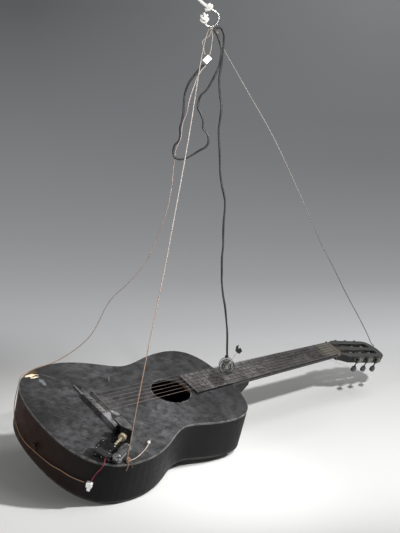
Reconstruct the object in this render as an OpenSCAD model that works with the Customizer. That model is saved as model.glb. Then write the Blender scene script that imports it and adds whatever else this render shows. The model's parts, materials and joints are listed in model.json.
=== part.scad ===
// Black-painted acoustic guitar with a slotted head, hung by cords from a ring, with two small motors.
// The frame's origin is where the hook's shank enters a ceiling. +X runs from the butt to the head,
// +Y away from the lower edge of the tilted guitar, +Z up. Every size is in millimetres.

/* [Hanging] */
// Sideways tilt of the hung guitar, near edge down
tilt = 19; // [0:1:24]
// Butt of the soundboard behind the hook
butt_back = 326; // [300:1:350]
// Butt of the soundboard beside the hook
butt_side = 10; // [0:1:20]
// Hook's origin above the butt of the soundboard
hang_height = 850; // [840:1:900]
// Diameter of the suspension cords
cord_d = 2; // [1.6:0.1:2.4]
// Diameter of the slack side wire
side_wire_d = 1.6; // [1.2:0.1:2]
// Width of the black twin cable
twin_d = 4.4; // [3:0.1:5]
// Diameter of the rope above the ring
rope_d = 6.5; // [5:0.1:8]
// Diameter of the motor's red lead
lead_d = 1.8; // [1.4:0.1:2.2]

/* [Body] */
// Length of the body
body_len = 460; // [440:1:500]
// Width over the lower bout
lower_w = 340; // [320:1:410]
// Width at the waist
waist_w = 224; // [190:1:250]
// Width over the upper bout
upper_w = 260; // [230:1:300]
// Distance from the butt to the widest line of the lower bout
lower_x = 115; // [100:1:130]
// Distance from the butt to the waist
waist_x = 272; // [255:1:285]
// Distance from the butt to the widest line of the upper bout
upper_x = 381; // [365:1:395]
// Depth over soundboard and back
body_depth = 90; // [80:1:110]
// Thickness of the soundboard
top_t = 3; // [2.4:0.1:4]
// Thickness of the back
back_t = 3; // [2.4:0.1:4]
// Thickness of the ribs
rib_t = 2.5; // [2:0.1:3]
// Distance from the butt to the middle of the sound hole
hole_x = 313; // [305:1:316]
// Diameter of the sound hole
hole_d = 84; // [70:1:84]
// Width of the linings
lining_w = 6; // [4:0.5:8]
// Height of the linings
lining_h = 12; // [8:0.5:15]
// Width of each brace
brace_w = 8; // [6:0.5:10]
// Height of each brace
brace_h = 14; // [8:0.5:16]

/* [Neck] */
// Distance from the butt to the nut
nut_x = 787; // [780:1:800]
// Width of the fingerboard at the nut
nut_w = 49; // [46:0.5:54]
// Width of the fingerboard at the body
body_end_w = 60; // [56:0.5:64]
// Thickness of the fingerboard
board_t = 6.5; // [5:0.5:8]
// Gap between the sound hole and the fingerboard
board_gap = 3; // [2:0.5:6]
// Depth of the neck's shaft under the fingerboard
shaft_d = 14; // [12:0.5:18]
// Length of the heel along the neck
heel_len = 48; // [40:1:60]
// Scale length that the frets are spaced from
scale_len = 650; // [640:1:660]
// Number of frets
fret_count = 18; // [12:1:18]
// Thickness of the nut
nut_t = 5; // [4:0.5:6]
// Height of the nut
nut_h = 9; // [8.5:0.1:9.6]

/* [Head] */
// Backward angle of the head
head_angle = 12.5; // [8:0.5:15]
// Thickness of the head
head_t = 18; // [17:0.5:20]
// Half the width of the head where the tuners sit
head_half = 35; // [33:0.5:38]
// Length of the head
head_len = 172; // [168:1:180]
// Width of each string slot
slot_w = 16; // [14:0.5:16]
// Half the width of the web between the slots
web_half = 6; // [5:0.5:6]
// Distance from the nut to the first tuner's roller
first_roller_x = 62.7; // [60:0.1:64]
// Distance from one roller to the next
roller_gap = 36.5; // [35:0.5:37]
// Radius of a roller
roller_r = 3.5; // [3:0.1:4]
// Width of a tuner knob
knob_w = 13; // [10:0.5:16]
// Height of a tuner knob
knob_h = 12; // [8:0.5:13]

/* [Strings and bridge] */
// Distance between strings at the bridge
bridge_pitch = 11.6; // [10.5:0.1:12]
// Distance between strings at the nut
nut_pitch = 8.4; // [7.6:0.1:8.6]
// Sideways place of the strings' middle at the bridge
bridge_shift = 5; // [0:0.5:6]
// Distance from the butt to the back of the bridge
bridge_x = 123; // [118:1:128]
// Height of the bridge's tie block
tie_h = 9; // [8:0.5:10]
// Height of the bridge's base
bridge_base = 5; // [4:0.5:6]
// Height of the broken wing that has come away
wing_t = 5; // [3:0.5:6]
// Thickness of the saddle
saddle_t = 3; // [2.5:0.1:3.5]
// Height of the saddle over the soundboard
saddle_h = 12; // [11:0.5:13]

/* [Motors] */
// Turn of the bridge motor's unit, seen from above
unit_turn = 28; // [20:1:35]
// Diameter of the motor's can
can_d = 20; // [18:0.5:22]
// Length of the motor's can
can_len = 40; // [34:1:48]
// Radius of the drive shaft
drive_r = 2.5; // [2:0.1:3]
// Diameter of the wheel on the drive shaft
wheel_d = 15; // [12:0.5:17]
// Outer diameter of the hanging capsule
capsule_d = 31; // [28:0.5:34]
// Thickness of the hanging capsule
capsule_t = 15; // [13:0.5:18]
// Reach of the striker from the capsule's axis
striker_reach = 46; // [34:1:48]

/* [Hidden] */

// Running clearance between a shaft and its hole, on the radius
run_gap = 0.05;
// Clearance between pieces that lie close together
near_gap = 0.3;
// Extra length that lets a cutting solid pass through a face
cut = 1;

// The body's outline: four curves on each side, given by their handles at each widest line and the waist
butt_handle = 118;
lower_back_handle = 78;
lower_front_handle = 82;
waist_back_handle = 37;
waist_front_handle = 34;
upper_back_handle = 55;
upper_front_handle = 63;
neck_end_handle = 80;
curve_steps = 14;
side_curves = [
    [[0, 0], [0, butt_handle], [lower_x - lower_back_handle, lower_w / 2], [lower_x, lower_w / 2]],
    [[lower_x, lower_w / 2], [lower_x + lower_front_handle, lower_w / 2],
        [waist_x - waist_back_handle, waist_w / 2], [waist_x, waist_w / 2]],
    [[waist_x, waist_w / 2], [waist_x + waist_front_handle, waist_w / 2],
        [upper_x - upper_back_handle, upper_w / 2], [upper_x, upper_w / 2]],
    [[upper_x, upper_w / 2], [upper_x + upper_front_handle, upper_w / 2],
        [body_len, neck_end_handle], [body_len, 0]]
];

// Levels in the guitar's own frame, whose zero is the soundboard's upper face at the butt
inner_top = -top_t;
inner_back = -body_depth + back_t;
board_x = hole_x + hole_d / 2 + board_gap;
taper = (body_end_w - nut_w) / 2 / (nut_x - body_len);
head_x = nut_x + nut_t;
head_z = 5;

// Tuners, in the head's own frame
roller_z = -head_t / 2;
plate_t = 1.2;
plate_out = head_half + plate_t;
gear_teeth = 14;
worm_lead = 2.6;
gear_pitch_r = gear_teeth * worm_lead / (2 * PI);
gear_tip_r = gear_pitch_r + 0.55;
gear_root_r = gear_pitch_r - 0.9;
gear_w = 3.5;
worm_root_r = 1.6;
worm_crest_r = 2.9;
worm_pitch_r = 2.4;
worm_off = gear_pitch_r + worm_pitch_r;
gear_y = plate_out + worm_crest_r + 0.4;
worm_shaft_r = 1.5;
lug_t = 2.2;
lug_top = -2;
lug_low = -head_t + 2;
worm_turns = 3;
knob_t = 6;
knob_top = -head_t - 6;
blind_d = 3;
screw_r = 1.6;

// Strings, thinnest first on the far side; each runs to the roller of its own number
string_r = [0.36, 0.41, 0.52, 0.38, 0.44, 0.55];
string_z = nut_h - 0.4;
string_target = [18.5, 14.5, 11.5];
wrap_steps = 12;

// Broken and chipped outlines, in the guitar's own frame
corner_chip = [
    [30, 150], [44, 146.5], [50, 147], [57, 151], [63, 151.5], [70, 156.5], [77, 159], [86, 168], [86, 190], [30, 190]
];
bridge_wide = 24;
tie_wide = 9;
bridge_far = 46;
bridge_near = -76;
saddle_far = 45;
saddle_near = -21;
bridge_tip_far = 84;
splinter = [[21, -20], [27, -22], [34, -36], [31, -41], [25, -37], [22, -29]];
wing_outline = [[17, -45], [24, -43], [35, -44], [35.5, -77], [30, -82], [18, -78]];

// Bridge motor, in its own frame on the soundboard
unit_x = 90;
unit_y = -125;
plate_z = 2;
case_back = -41;
case_front = -15;
case_near = -7;
case_far = 26;
case_h = 24;
shaft_y = 2;
shaft_z = 17;
wheel_x = 20;
wheel_w = 7;
drive_end = 30;
can_y = -17.6;
can_start = -34;

// Hanging capsule, in the hook's frame
capsule_at = [76, -62, -796];
capsule_turn = 231.6;
shell_t = 1.2;
striker_turn = 146;

// Ring, hook and terminals, in the hook's frame
ring_at = [48, -39, -100];
ring_r = 15.8;
ring_wire_r = 1.8;
hook_r = 12;
hook_wire_r = 2.5;
hook_z = -22;
shank_top = 30;
upper_terminal_at = [43, -35, -178];
lower_terminal_at = [31, -140, -50];
terminal_size = [11, 8, 15];

// Cord routes, in the hook's frame, each ending with the piece that it meets
rope_route = [
    [39, -32, -85], [43, -36, -82], [44, -36, -79], [38, -31, -74], [31, -25, -66],
    [20, -16, -54], [10, -11, -44], [5, -8, -35], [1, -1, -27], [-1, 6, -30], [-1, 8, -37], [3, 6, -44]
];
rope_swell = [1.5, 1.6, 1.2, 1, 1, 1, 1, 1, 1, 1, 1, 1];
near_cord_route = [
    [46, -37, -118], [36, -37, -140], [22, -44, -170], [4, -53, -217], [-18, -62, -290], [-44, -72, -370],
    [-78, -84, -470], [-112, -96, -570], [-158, -112, -690], [-200, -129, -800], [-223, -138, -866],
    [-235, -143, -894], [-234, -144, -899], [-222, -144, -900], [-204, -139, -898], [-182, -129, -893],
    [-168, -120, -889]
];
head_cord_route = [
    [51, -40, -118], [66, -38, -135], [86, -34, -160], [150, -31, -240], [240, -25, -352],
    [355, -14, -520], [405, -4, -590], [454, 3, -652], [504, 11, -717], [558, 17, -785],
    [594, 22, -831], [617, 26, -863], [628.0, 27.2, -872.4], [626.9, 28.8, -877.0], [625.4, 31.1, -883.5]
];
side_wire_route = [
    [42, -32, -190], [35, -27, -199], [29, -22, -212], [25, -19, -225], [20, -15, -243],
    [17, -10, -262], [17, -4, -283], [12, 3, -304], [10, 6, -331], [2, 11, -353], [-2, 10, -370],
    [-7, 8, -390], [-14, 3, -414], [-22, -1, -439], [-33, -4, -470], [-52, 0, -520],
    [-73, 13, -573], [-100, 32, -612], [-133, 56, -653], [-166, 77, -722], [-213, 112, -768],
    [-258, 146, -790], [-273, 151, -797], [-281, 154, -802], [-287, 153, -815], [-293, 151, -829],
    [-300, 147, -843], [-308, 138, -859], [-316, 123, -875], [-322, 103, -887], [-326, 88, -893],
    [-328, 65, -903], [-328, 41, -909], [-328, 9, -915], [-327, -24, -921], [-321, -49, -926],
    [-315, -69, -932], [-308, -85, -936], [-301, -98, -939]
];
twin_cable_route = [
    [38, -31, -188], [30, -25, -198], [21, -19, -211], [14, -13, -225], [9, -8, -244],
    [7, -7, -263], [6, -7, -281], [4, -5, -297], [1, -3, -311], [1, -3, -325], [-2, -1, -337],
    [-7, 4, -344], [-9, 6, -357], [-7, 4, -368], [1, -2, -372], [11, -9, -370], [21, -16, -364],
    [32, -25, -355], [41, -33, -348], [45, -37, -338], [44, -36, -323], [37, -30, -311],
    [37, -30, -297], [33, -27, -282], [29, -24, -272], [30, -24, -261], [33, -27, -248],
    [42, -34, -237], [49, -40, -222], [55, -45, -207], [61, -49, -191], [63, -52, -173],
    [64, -52, -158], [58, -48, -134], [53, -44, -122], [62, -50, -118], [68, -54, -130],
    [68, -53, -154], [66, -52, -175], [65, -50, -194], [62, -49, -214], [63, -49, -241],
    [66, -51, -268], [64, -50, -293], [62, -48, -315], [63, -49, -342], [64, -50, -370],
    [64, -51, -397], [67, -53, -423], [72, -56, -450], [72, -57, -469], [70, -56, -498],
    [70, -55, -526], [70, -55, -546], [68, -54, -571], [68, -54, -600], [68, -54, -620],
    [70, -56, -647], [73, -59, -672], [75, -61, -700], [77, -62, -727], [77, -62, -755],
    [77, -62, -772], [76, -62, -779]
];
red_lead_route = [
    [-272, -129, -889], [-277, -132, -891], [-281, -134, -896], [-284, -131, -905], [-288, -122, -916],
    [-291, -115, -926], [-295, -110, -937]
];

// --- helpers ---------------------------------------------------------------------------------

function mix3(c, t) =
    pow(1 - t, 3) * c[0] + 3 * pow(1 - t, 2) * t * c[1] + 3 * (1 - t) * t * t * c[2] + pow(t, 3) * c[3];
function slope3(c, t) =
    pow(1 - t, 2) * (c[1] - c[0]) + 2 * (1 - t) * t * (c[2] - c[1]) + t * t * (c[3] - c[2]);
function unit(v) = v / norm(v);
function right_of(v) = [v[1], -v[0]];

// One half of the body's outline, moved inwards by inset
function half_outline(inset) = concat(
    [for (c = side_curves) for (k = [0 : curve_steps - 1])
        let (t = k / curve_steps) mix3(c, t) + inset * right_of(unit(slope3(c, t)))],
    [[body_len - inset, 0]]
);
function mirrored(half) = [for (k = [len(half) - 2 : -1 : 1]) [half[k][0], -half[k][1]]];
function body_outline(inset) = let (half = half_outline(inset)) concat(half, mirrored(half));
function board_half(x) = nut_w / 2 + taper * (nut_x - x);
function fret_x(n) = nut_x - scale_len * (1 - pow(2, -n / 12));
function string_nut_y(i) = nut_pitch * (2.5 - i);
function string_bridge_y(i) = bridge_shift + bridge_pitch * (2.5 - i);
function roller_x(i) = first_roller_x + roller_gap * i;

// The guitar's frame in the hook's frame
module hung() {
    translate([-butt_back, butt_side, -hang_height])
        rotate([tilt, 0, 0])
            children();
}

module head_frame() {
    translate([head_x, 0, head_z])
        rotate([0, head_angle, 0])
            children();
}

// Flat layer of the body's outline
module layer(inset, low, high) {
    translate([0, 0, low])
        linear_extrude(high - low)
            polygon(body_outline(inset));
}

module block(low, high) {
    translate(low)
        cube(high - low);
}

// Direction of a route at point k
function along(route, k) = unit(route[min(k + 1, len(route) - 1)] - route[max(k - 1, 0)]);
function across(route, k, ref) = unit(cross(along(route, k), ref));

// Tube along a route: one solid, with its radius at each point and a reference direction that no stretch follows
module tube(route, radii, sides, ref) {
    rings = [
        for (k = [0 : len(route) - 1])
            let (u = across(route, k, ref), v = cross(along(route, k), u))
                for (s = [0 : sides - 1])
                    route[k] + radii[k] * (cos(360 * s / sides) * u + sin(360 * s / sides) * v)
    ];
    last = (len(route) - 1) * sides;
    walls = [
        for (k = [0 : len(route) - 2]) for (s = [0 : sides - 1])
            let (a = k * sides + s, b = k * sides + (s + 1) % sides)
                each [[a, a + sides, b], [b, a + sides, b + sides]]
    ];
    caps = [[for (s = [0 : sides - 1]) s], [for (s = [sides - 1 : -1 : 0]) last + s]];
    polyhedron(rings, concat(walls, caps));
}

module cord(route, d, ref) {
    tube(route, [for (p = route) d / 2], 8, ref);
}

// --- body ------------------------------------------------------------------------------------

module soundboard() {
    color("#3d3e40")
        hung()
            difference() {
                layer(0, -top_t, 0);
                translate([hole_x, 0, -top_t - cut])
                    cylinder(h = top_t + 2 * cut, d = hole_d, $fn = 96);
                translate([0, 0, -top_t - cut])
                    linear_extrude(top_t + 2 * cut)
                        polygon(corner_chip);
            }
}

module strap_pin_hole() {
    translate([-cut, 0, -body_depth / 2 - 6])
        rotate([0, 90, 0])
            cylinder(h = rib_t + tail_len + 2 * cut, r = strap_pin_r, $fn = 48);
}

module ribs() {
    color("#242527")
        hung()
            difference() {
                layer(0, inner_back, inner_top);
                layer(rib_t, inner_back - cut, inner_top + cut);
                strap_pin_hole();
            }
}

module back() {
    color("#242527")
        hung()
            layer(0, -body_depth, inner_back);
}

// End blocks
tail_len = 18;
tail_half = 30;
neck_block_len = 42;
neck_block_half = 35;
strap_pin_r = 4;

module tail_block_space(grow) {
    block([-cut, -tail_half - grow, inner_back - grow], [rib_t + tail_len + grow, tail_half + grow, inner_top + grow]);
}

module neck_block_space(grow) {
    block([body_len - rib_t - neck_block_len - grow, -neck_block_half - grow, inner_back - grow],
        [body_len + cut, neck_block_half + grow, inner_top + grow]);
}

module lining(low, high) {
    difference() {
        layer(rib_t, low, high);
        layer(rib_t + lining_w, low - cut, high + cut);
        tail_block_space(0.01);
        neck_block_space(0.01);
    }
}

module top_lining() {
    color("#b08a5a")
        hung()
            lining(inner_top - lining_h, inner_top);
}

module back_lining() {
    color("#b08a5a")
        hung()
            lining(inner_back, inner_back + lining_h);
}

module braces(places, low, high) {
    intersection() {
        layer(rib_t + lining_w, low, high);
        union() {
            for (x = places)
                block([x - brace_w / 2, -lower_w, low - cut], [x + brace_w / 2, lower_w, high + cut]);
        }
    }
}

module top_braces() {
    color("#c39b68")
        hung()
            braces([75, 200, hole_x - hole_d / 2 - 14, hole_x + hole_d / 2 + 14], inner_top - brace_h, inner_top);
}

module back_braces() {
    color("#c39b68")
        hung()
            braces([lower_x, 215, waist_x + 70], inner_back, inner_back + brace_h);
}

module tail_block() {
    color("#a67c4e")
        hung()
            difference() {
                intersection() {
                    layer(rib_t, inner_back, inner_top);
                    tail_block_space(0);
                }
                strap_pin_hole();
            }
}

module neck_block() {
    color("#a67c4e")
        hung()
            intersection() {
                layer(rib_t, inner_back, inner_top);
                neck_block_space(0);
            }
}

module strap_pin() {
    color("#202021")
        hung()
            translate([0, 0, -body_depth / 2 - 6])
                rotate([0, 90, 0]) {
                    cylinder(h = rib_t + tail_len - 4, r = strap_pin_r, $fn = 48);
                    translate([0, 0, -9])
                        rotate_extrude($fn = 48)
                            polygon([[0, 0], [6, 0], [7.5, 1.5], [7.5, 2.5], [4.5, 5], [5.5, 9], [0, 9]]);
                }
}

// --- neck ------------------------------------------------------------------------------------

module shaft_slice(x, half, deep) {
    translate([x, 0, 0])
        rotate([90, 0, 90])
            linear_extrude(1)
                intersection() {
                    scale([half, deep])
                        circle(r = 1, $fn = 36);
                    translate([-half - cut, -deep - cut])
                        square([2 * (half + cut), deep + cut]);
                }
}

module head_outline() {
    polygon([
        [-6, -nut_w / 2], [4, -nut_w / 2], [30, -head_half], [head_len - 25, -head_half], [head_len - 12, -31],
        [head_len - 4, -20], [head_len, 0], [head_len - 4, 20], [head_len - 12, 31], [head_len - 25, head_half],
        [30, head_half], [4, nut_w / 2], [-6, nut_w / 2]
    ]);
}

slot_start = 14;
slot_end = 152;

module string_slot(side) {
    low = slot_start + slot_w / 2;
    high = slot_end - slot_w / 2;
    middle = side * (web_half + slot_w / 2);
    for (x = [low, high])
        translate([x, middle, -head_t - cut])
            cylinder(h = head_t + 2 * cut, d = slot_w, $fn = 48);
    block([low, middle - slot_w / 2, -head_t - cut], [high, middle + slot_w / 2, cut]);
}

module roller_hole(i, side, from, to) {
    translate([roller_x(i), side * from, roller_z])
        rotate([-90 * side, 0, 0])
            cylinder(h = to - from, r = roller_r + run_gap, $fn = 48);
}

module neck() {
    color("#333437")
        hung()
            difference() {
                union() {
                    hull() {
                        shaft_slice(body_len - 6, board_half(body_len), shaft_d + 2);
                        shaft_slice(nut_x - 12, board_half(nut_x), shaft_d);
                    }
                    hull() {
                        block([body_len - 6, -28, -12], [body_len + heel_len, 28, 0]);
                        block([body_len - 6, -14, -body_depth + 4], [body_len + 12, 14, -body_depth + 5]);
                    }
                    hull() {
                        shaft_slice(nut_x - 15, board_half(nut_x) - 0.6, shaft_d - 0.6);
                        shaft_slice(head_x + 3, nut_w / 2 + 0.4, shaft_d + 3);
                    }
                    head_frame()
                        translate([0, 0, -head_t])
                            linear_extrude(head_t)
                                head_outline();
                }
                layer(0, -body_depth - cut, cut);
                block([nut_x - 20, -nut_w, 0], [head_x, nut_w, head_z + 20]);
                head_frame() {
                    for (side = [-1, 1]) {
                        string_slot(side);
                        for (i = [0 : 2])
                            roller_hole(i, side, web_half - blind_d, head_half + cut);
                    }
                    translate([tie_hole_x, tie_hole_y, -head_t - cut])
                        cylinder(h = head_t + 2 * cut, r = cord_d / 2 + 0.6, $fn = 24);
                }
            }
}

tie_hole_x = 165;
tie_hole_y = 9;

module fingerboard() {
    color("#4c4648")
        hung()
            difference() {
                linear_extrude(board_t)
                    polygon([
                        [board_x, -board_half(board_x)], [nut_x, -board_half(nut_x)],
                        [nut_x, board_half(nut_x)], [board_x, board_half(board_x)]
                    ]);
                for (n = [1 : fret_count])
                    block([fret_x(n) - fret_tang / 2, -nut_w, board_t - fret_deep],
                        [fret_x(n) + fret_tang / 2, nut_w, board_t + cut]);
            }
}

fret_tang = 0.8;
fret_deep = 1.5;
fret_crown_r = 1.1;

module fret(n) {
    half = board_half(fret_x(n)) - 0.4;
    translate([fret_x(n), 0, board_t]) {
        block([-fret_tang / 2, -half, -fret_deep], [fret_tang / 2, half, 0.2]);
        intersection() {
            rotate([90, 0, 0])
                cylinder(h = 2 * half, r = fret_crown_r, center = true, $fn = 24);
            block([-fret_crown_r - cut, -nut_w, 0], [fret_crown_r + cut, nut_w, fret_crown_r + cut]);
        }
    }
}

module frets() {
    color("#8b8a86")
        hung()
            for (n = [1 : fret_count])
                fret(n);
}

module nut() {
    color("#6d6c62")
        hung()
            difference() {
                block([nut_x, -nut_w / 2, 0], [head_x, nut_w / 2, nut_h]);
                for (i = [0 : 5])
                    translate([nut_x - cut, string_nut_y(i), string_z])
                        rotate([0, 90, 0])
                            cylinder(h = nut_t + 2 * cut, r = string_r[i] + 0.25, $fn = 24);
                for (i = [0 : 5])
                    block([nut_x - cut, string_nut_y(i) - string_r[i] - 0.25, string_z],
                        [head_x + cut, string_nut_y(i) + string_r[i] + 0.25, nut_h + cut]);
            }
}

// --- bridge and strings ----------------------------------------------------------------------

saddle_x = bridge_wide - 4;

module bridge_frame() {
    translate([bridge_x, 0, 0])
        children();
}

module bridge() {
    color("#3b3a3c")
        hung()
            bridge_frame()
                difference() {
                    union() {
                        block([0, bridge_near, 0], [tie_wide, bridge_far, tie_h]);
                        linear_extrude(bridge_base)
                            polygon([
                                [0, bridge_near], [tie_wide + 1, bridge_near], [tie_wide + 3, -46], [16, -34],
                                [bridge_wide, saddle_near], [bridge_wide, bridge_far], [0, bridge_far]
                            ]);
                        block([saddle_x - 3, saddle_near, 0], [bridge_wide, bridge_far, tie_h]);
                        linear_extrude(tie_h - 2)
                            polygon(splinter);
                        linear_extrude(3)
                            polygon([[1.5, bridge_far - 1], [7, bridge_far - 1], [6, bridge_tip_far], [3, bridge_tip_far]]);
                    }
                    block([saddle_x - saddle_t / 2, saddle_near - cut, bridge_base],
                        [saddle_x + saddle_t / 2, saddle_far, tie_h + cut]);
                    for (i = [0 : 5])
                        translate([tie_wide - cut - 8, string_bridge_y(i), tie_h - 3])
                            rotate([0, 90, 0])
                                cylinder(h = 8 + 2 * cut, r = 1, $fn = 24);
                }
}

module bridge_wing() {
    color("#66646a")
        hung()
            bridge_frame()
                linear_extrude(wing_t)
                    polygon(wing_outline);
}

module saddle() {
    color("#4a494b")
        hung()
            bridge_frame()
                block([saddle_x - saddle_t / 2, saddle_near, bridge_base],
                    [saddle_x + saddle_t / 2, saddle_far, saddle_h]);
}

// A string lies over the saddle and the nut, drops through its slot and is wound round its roller
function string_side(i) = i < 3 ? 1 : -1;
function string_roller(i) = i < 3 ? i : 5 - i;
function head_to_guitar(p) = [
    head_x + p[0] * cos(head_angle) + p[2] * sin(head_angle), p[1],
    head_z - p[0] * sin(head_angle) + p[2] * cos(head_angle)
];
function wrap_r(i) = roller_r + near_gap + string_r[i];
function wrap_point(i, a, y) = head_to_guitar([
    roller_x(string_roller(i)) + wrap_r(i) * sin(a), y, roller_z + wrap_r(i) * cos(a)
]);
function string_path(i) =
    let (y = string_side(i) * string_target[string_roller(i)],
        out = string_side(i) * 4 * string_r[i])
    concat(
        [[bridge_x + tie_wide - 1, string_bridge_y(i), tie_h - 3],
            [bridge_x + saddle_x - saddle_t / 2 - 0.4, string_bridge_y(i), saddle_h + string_r[i] + 0.1],
            [bridge_x + saddle_x + saddle_t / 2, string_bridge_y(i), saddle_h + string_r[i] + 0.1],
            [nut_x + 1, string_nut_y(i), string_z], [head_x, string_nut_y(i), string_z - 0.1]],
        [for (k = [0 : wrap_steps]) wrap_point(i, 400 * k / wrap_steps, y + out * k / wrap_steps)]
    );

module string(i) {
    color("#7d7468")
        hung()
            tube(string_path(i), [for (p = string_path(i)) string_r[i]], 8, [0.05, 1, 0.02]);
}

module string_1() { string(0); }
module string_2() { string(1); }
module string_3() { string(2); }
module string_4() { string(3); }
module string_5() { string(4); }
module string_6() { string(5); }

// --- tuners ----------------------------------------------------------------------------------

// Built on the near side; the far side is its mirror image
module on_side(side) {
    hung()
        head_frame()
            mirror([0, side > 0 ? 1 : 0, 0])
                children();
}

function worm_x(i) = roller_x(i) - worm_off;

module worm_hole(i) {
    translate([worm_x(i), -gear_y, lug_low - cut])
        cylinder(h = lug_top - lug_low + 2 * cut, r = worm_shaft_r + run_gap, $fn = 32);
}

module tuner_plate(side) {
    plate_start = worm_x(0) - 9;
    plate_end = roller_x(2) + 14;
    color("#2b2b2c")
        on_side(side)
            difference() {
                union() {
                    block([plate_start, -plate_out, lug_low], [plate_end, -head_half, lug_top]);
                    for (i = [0 : 2])
                        for (z = [lug_low, lug_top - lug_t])
                            block([worm_x(i) - 2.8, -gear_y - 2.6, z],
                                [worm_x(i) + 2.4, -head_half, z + lug_t]);
                }
                for (i = [0 : 2]) {
                    worm_hole(i);
                    translate([roller_x(i), -plate_out - cut, roller_z])
                        rotate([-90, 0, 0])
                            cylinder(h = plate_t + 2 * cut, r = roller_r + run_gap, $fn = 48);
                }
                for (x = screw_places())
                    translate([x, -plate_out - cut, roller_z])
                        rotate([-90, 0, 0])
                            cylinder(h = plate_t + 2 * cut, r = screw_r, $fn = 24);
            }
}

function screw_places() = [worm_x(0) - 6, roller_x(0) + 14, roller_x(1) + 14, roller_x(2) + 10.5];

module tuner_plate_near() { tuner_plate(-1); }
module tuner_plate_far() { tuner_plate(1); }

module tuner_screws() {
    color("#55534f")
        for (side = [-1, 1])
            on_side(side)
                for (x = screw_places())
                    translate([x, -plate_out, roller_z])
                        rotate([90, 0, 0]) {
                            cylinder(h = 1, r = screw_r + 1, $fn = 24);
                            translate([0, 0, -plate_t])
                                cylinder(h = plate_t, r = screw_r, $fn = 24);
                        }
}

// Gear with plain tapered teeth
module gear_shape() {
    step = 360 / gear_teeth;
    polygon([
        for (k = [0 : gear_teeth - 1])
            each [
                gear_root_r * [cos(step * k - 5.4), sin(step * k - 5.4)],
                gear_tip_r * [cos(step * k - 2.6), sin(step * k - 2.6)],
                gear_tip_r * [cos(step * k + 2.6), sin(step * k + 2.6)],
                gear_root_r * [cos(step * k + 5.4), sin(step * k + 5.4)]
            ]
    ]);
}

module roller(i, side) {
    color("#77705f")
        on_side(side)
            translate([roller_x(i), 0, roller_z])
                rotate([90, 0, 0]) {
                    translate([0, 0, web_half - blind_d + 0.5])
                        cylinder(h = gear_y + gear_w / 2 - web_half + blind_d - 0.5, r = roller_r, $fn = 48);
                    translate([0, 0, gear_y - gear_w / 2])
                        linear_extrude(gear_w)
                            gear_shape();
                    translate([0, 0, gear_y + gear_w / 2])
                        cylinder(h = 1.2, r = 2.4, $fn = 24);
                }
}

module roller_1() { roller(0, 1); }
module roller_2() { roller(1, 1); }
module roller_3() { roller(2, 1); }
module roller_4() { roller(2, -1); }
module roller_5() { roller(1, -1); }
module roller_6() { roller(0, -1); }

// Cross-section of the worm, which is twisted into its thread
module worm_shape() {
    crest = [-26, 0, 26];
    root = [58, 96, 134, 180, 226, 264, 302];
    polygon(concat(
        [for (a = crest) worm_crest_r * [cos(a), sin(a)]],
        [for (a = root) worm_root_r * [cos(a), sin(a)]]
    ));
}

worm_low = lug_low + lug_t + 0.3;
worm_len = lug_top - lug_t - 0.3 - worm_low;
// Puts a tooth of the gear midway between two turns of the thread
worm_phase = 180 - 360 * (roller_z - worm_low) / worm_lead;

module tuner_key(i, side) {
    color("#2f2f30")
        on_side(side)
            translate([worm_x(i), -gear_y, 0]) {
                translate([0, 0, knob_top - 1])
                    cylinder(h = lug_top + 0.8 - knob_top + 1, r = worm_shaft_r, $fn = 32);
                translate([0, 0, worm_low])
                    linear_extrude(worm_len, twist = -360 * worm_len / worm_lead, slices = 24)
                        rotate(worm_phase)
                            worm_shape();
                translate([0, 0, knob_top - 3])
                    cylinder(h = 3, r1 = 2.2, r2 = 3.2, $fn = 24);
                translate([0, knob_t / 2, knob_top - 2 - knob_h / 2])
                    rotate([90, 0, 0])
                        linear_extrude(knob_t)
                            knob_shape();
            }
}

module knob_shape() {
    bevel = 3;
    w = knob_w / 2;
    h = knob_h / 2;
    polygon([
        [-w + bevel, -h], [w - bevel, -h], [w, -h + bevel], [w, h - bevel], [w - bevel, h], [-w + bevel, h],
        [-w, h - bevel], [-w, -h + bevel]
    ]);
}

module tuner_key_1() { tuner_key(0, 1); }
module tuner_key_2() { tuner_key(1, 1); }
module tuner_key_3() { tuner_key(2, 1); }
module tuner_key_4() { tuner_key(2, -1); }
module tuner_key_5() { tuner_key(1, -1); }
module tuner_key_6() { tuner_key(0, -1); }

// --- screw eyes ------------------------------------------------------------------------------

eye_r = 4;
eye_wire_r = 1;

module screw_eye(x, y, turn) {
    color("#8e8b84")
        hung()
            translate([x, y, 0])
                rotate([0, 0, turn]) {
                    cylinder(h = 1.8, r = eye_wire_r + 0.3, $fn = 24);
                    cylinder(h = 0.8, r = 2.6, $fn = 24);
                    translate([0, 0, 2 + eye_r])
                        rotate([90, 0, 0])
                            rotate_extrude($fn = 48)
                                translate([eye_r, 0])
                                    circle(r = eye_wire_r, $fn = 24);
                }
}

module screw_eye_far() { screw_eye(206, 75, 30); }
module screw_eye_near() { screw_eye(165, -130, 60); }

// --- bridge motor ----------------------------------------------------------------------------

module motor_unit() {
    hung()
        translate([unit_x, unit_y, 0])
            rotate([0, 0, unit_turn])
                children();
}

module motor_bracket() {
    color("#1d1d1e")
        motor_unit()
            difference() {
                union() {
                    linear_extrude(plate_z)
                        polygon([
                            [case_back, case_near - 1], [case_back, case_far], [-4, 32], [52, 27], [47, -9],
                            [20, can_y - 2], [case_front, can_y - 4], [case_back + 8, can_y]
                        ]);
                    block([46, -6, 0], [48, 24, 22]);
                    block([30, 24, 0], [48, 26, 22]);
                }
                for (p = [[8, 22], [40, 12]])
                    translate([p[0], p[1], -cut])
                        cylinder(h = plate_z + 2 * cut, r = 1.8, $fn = 24);
            }
}

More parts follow.
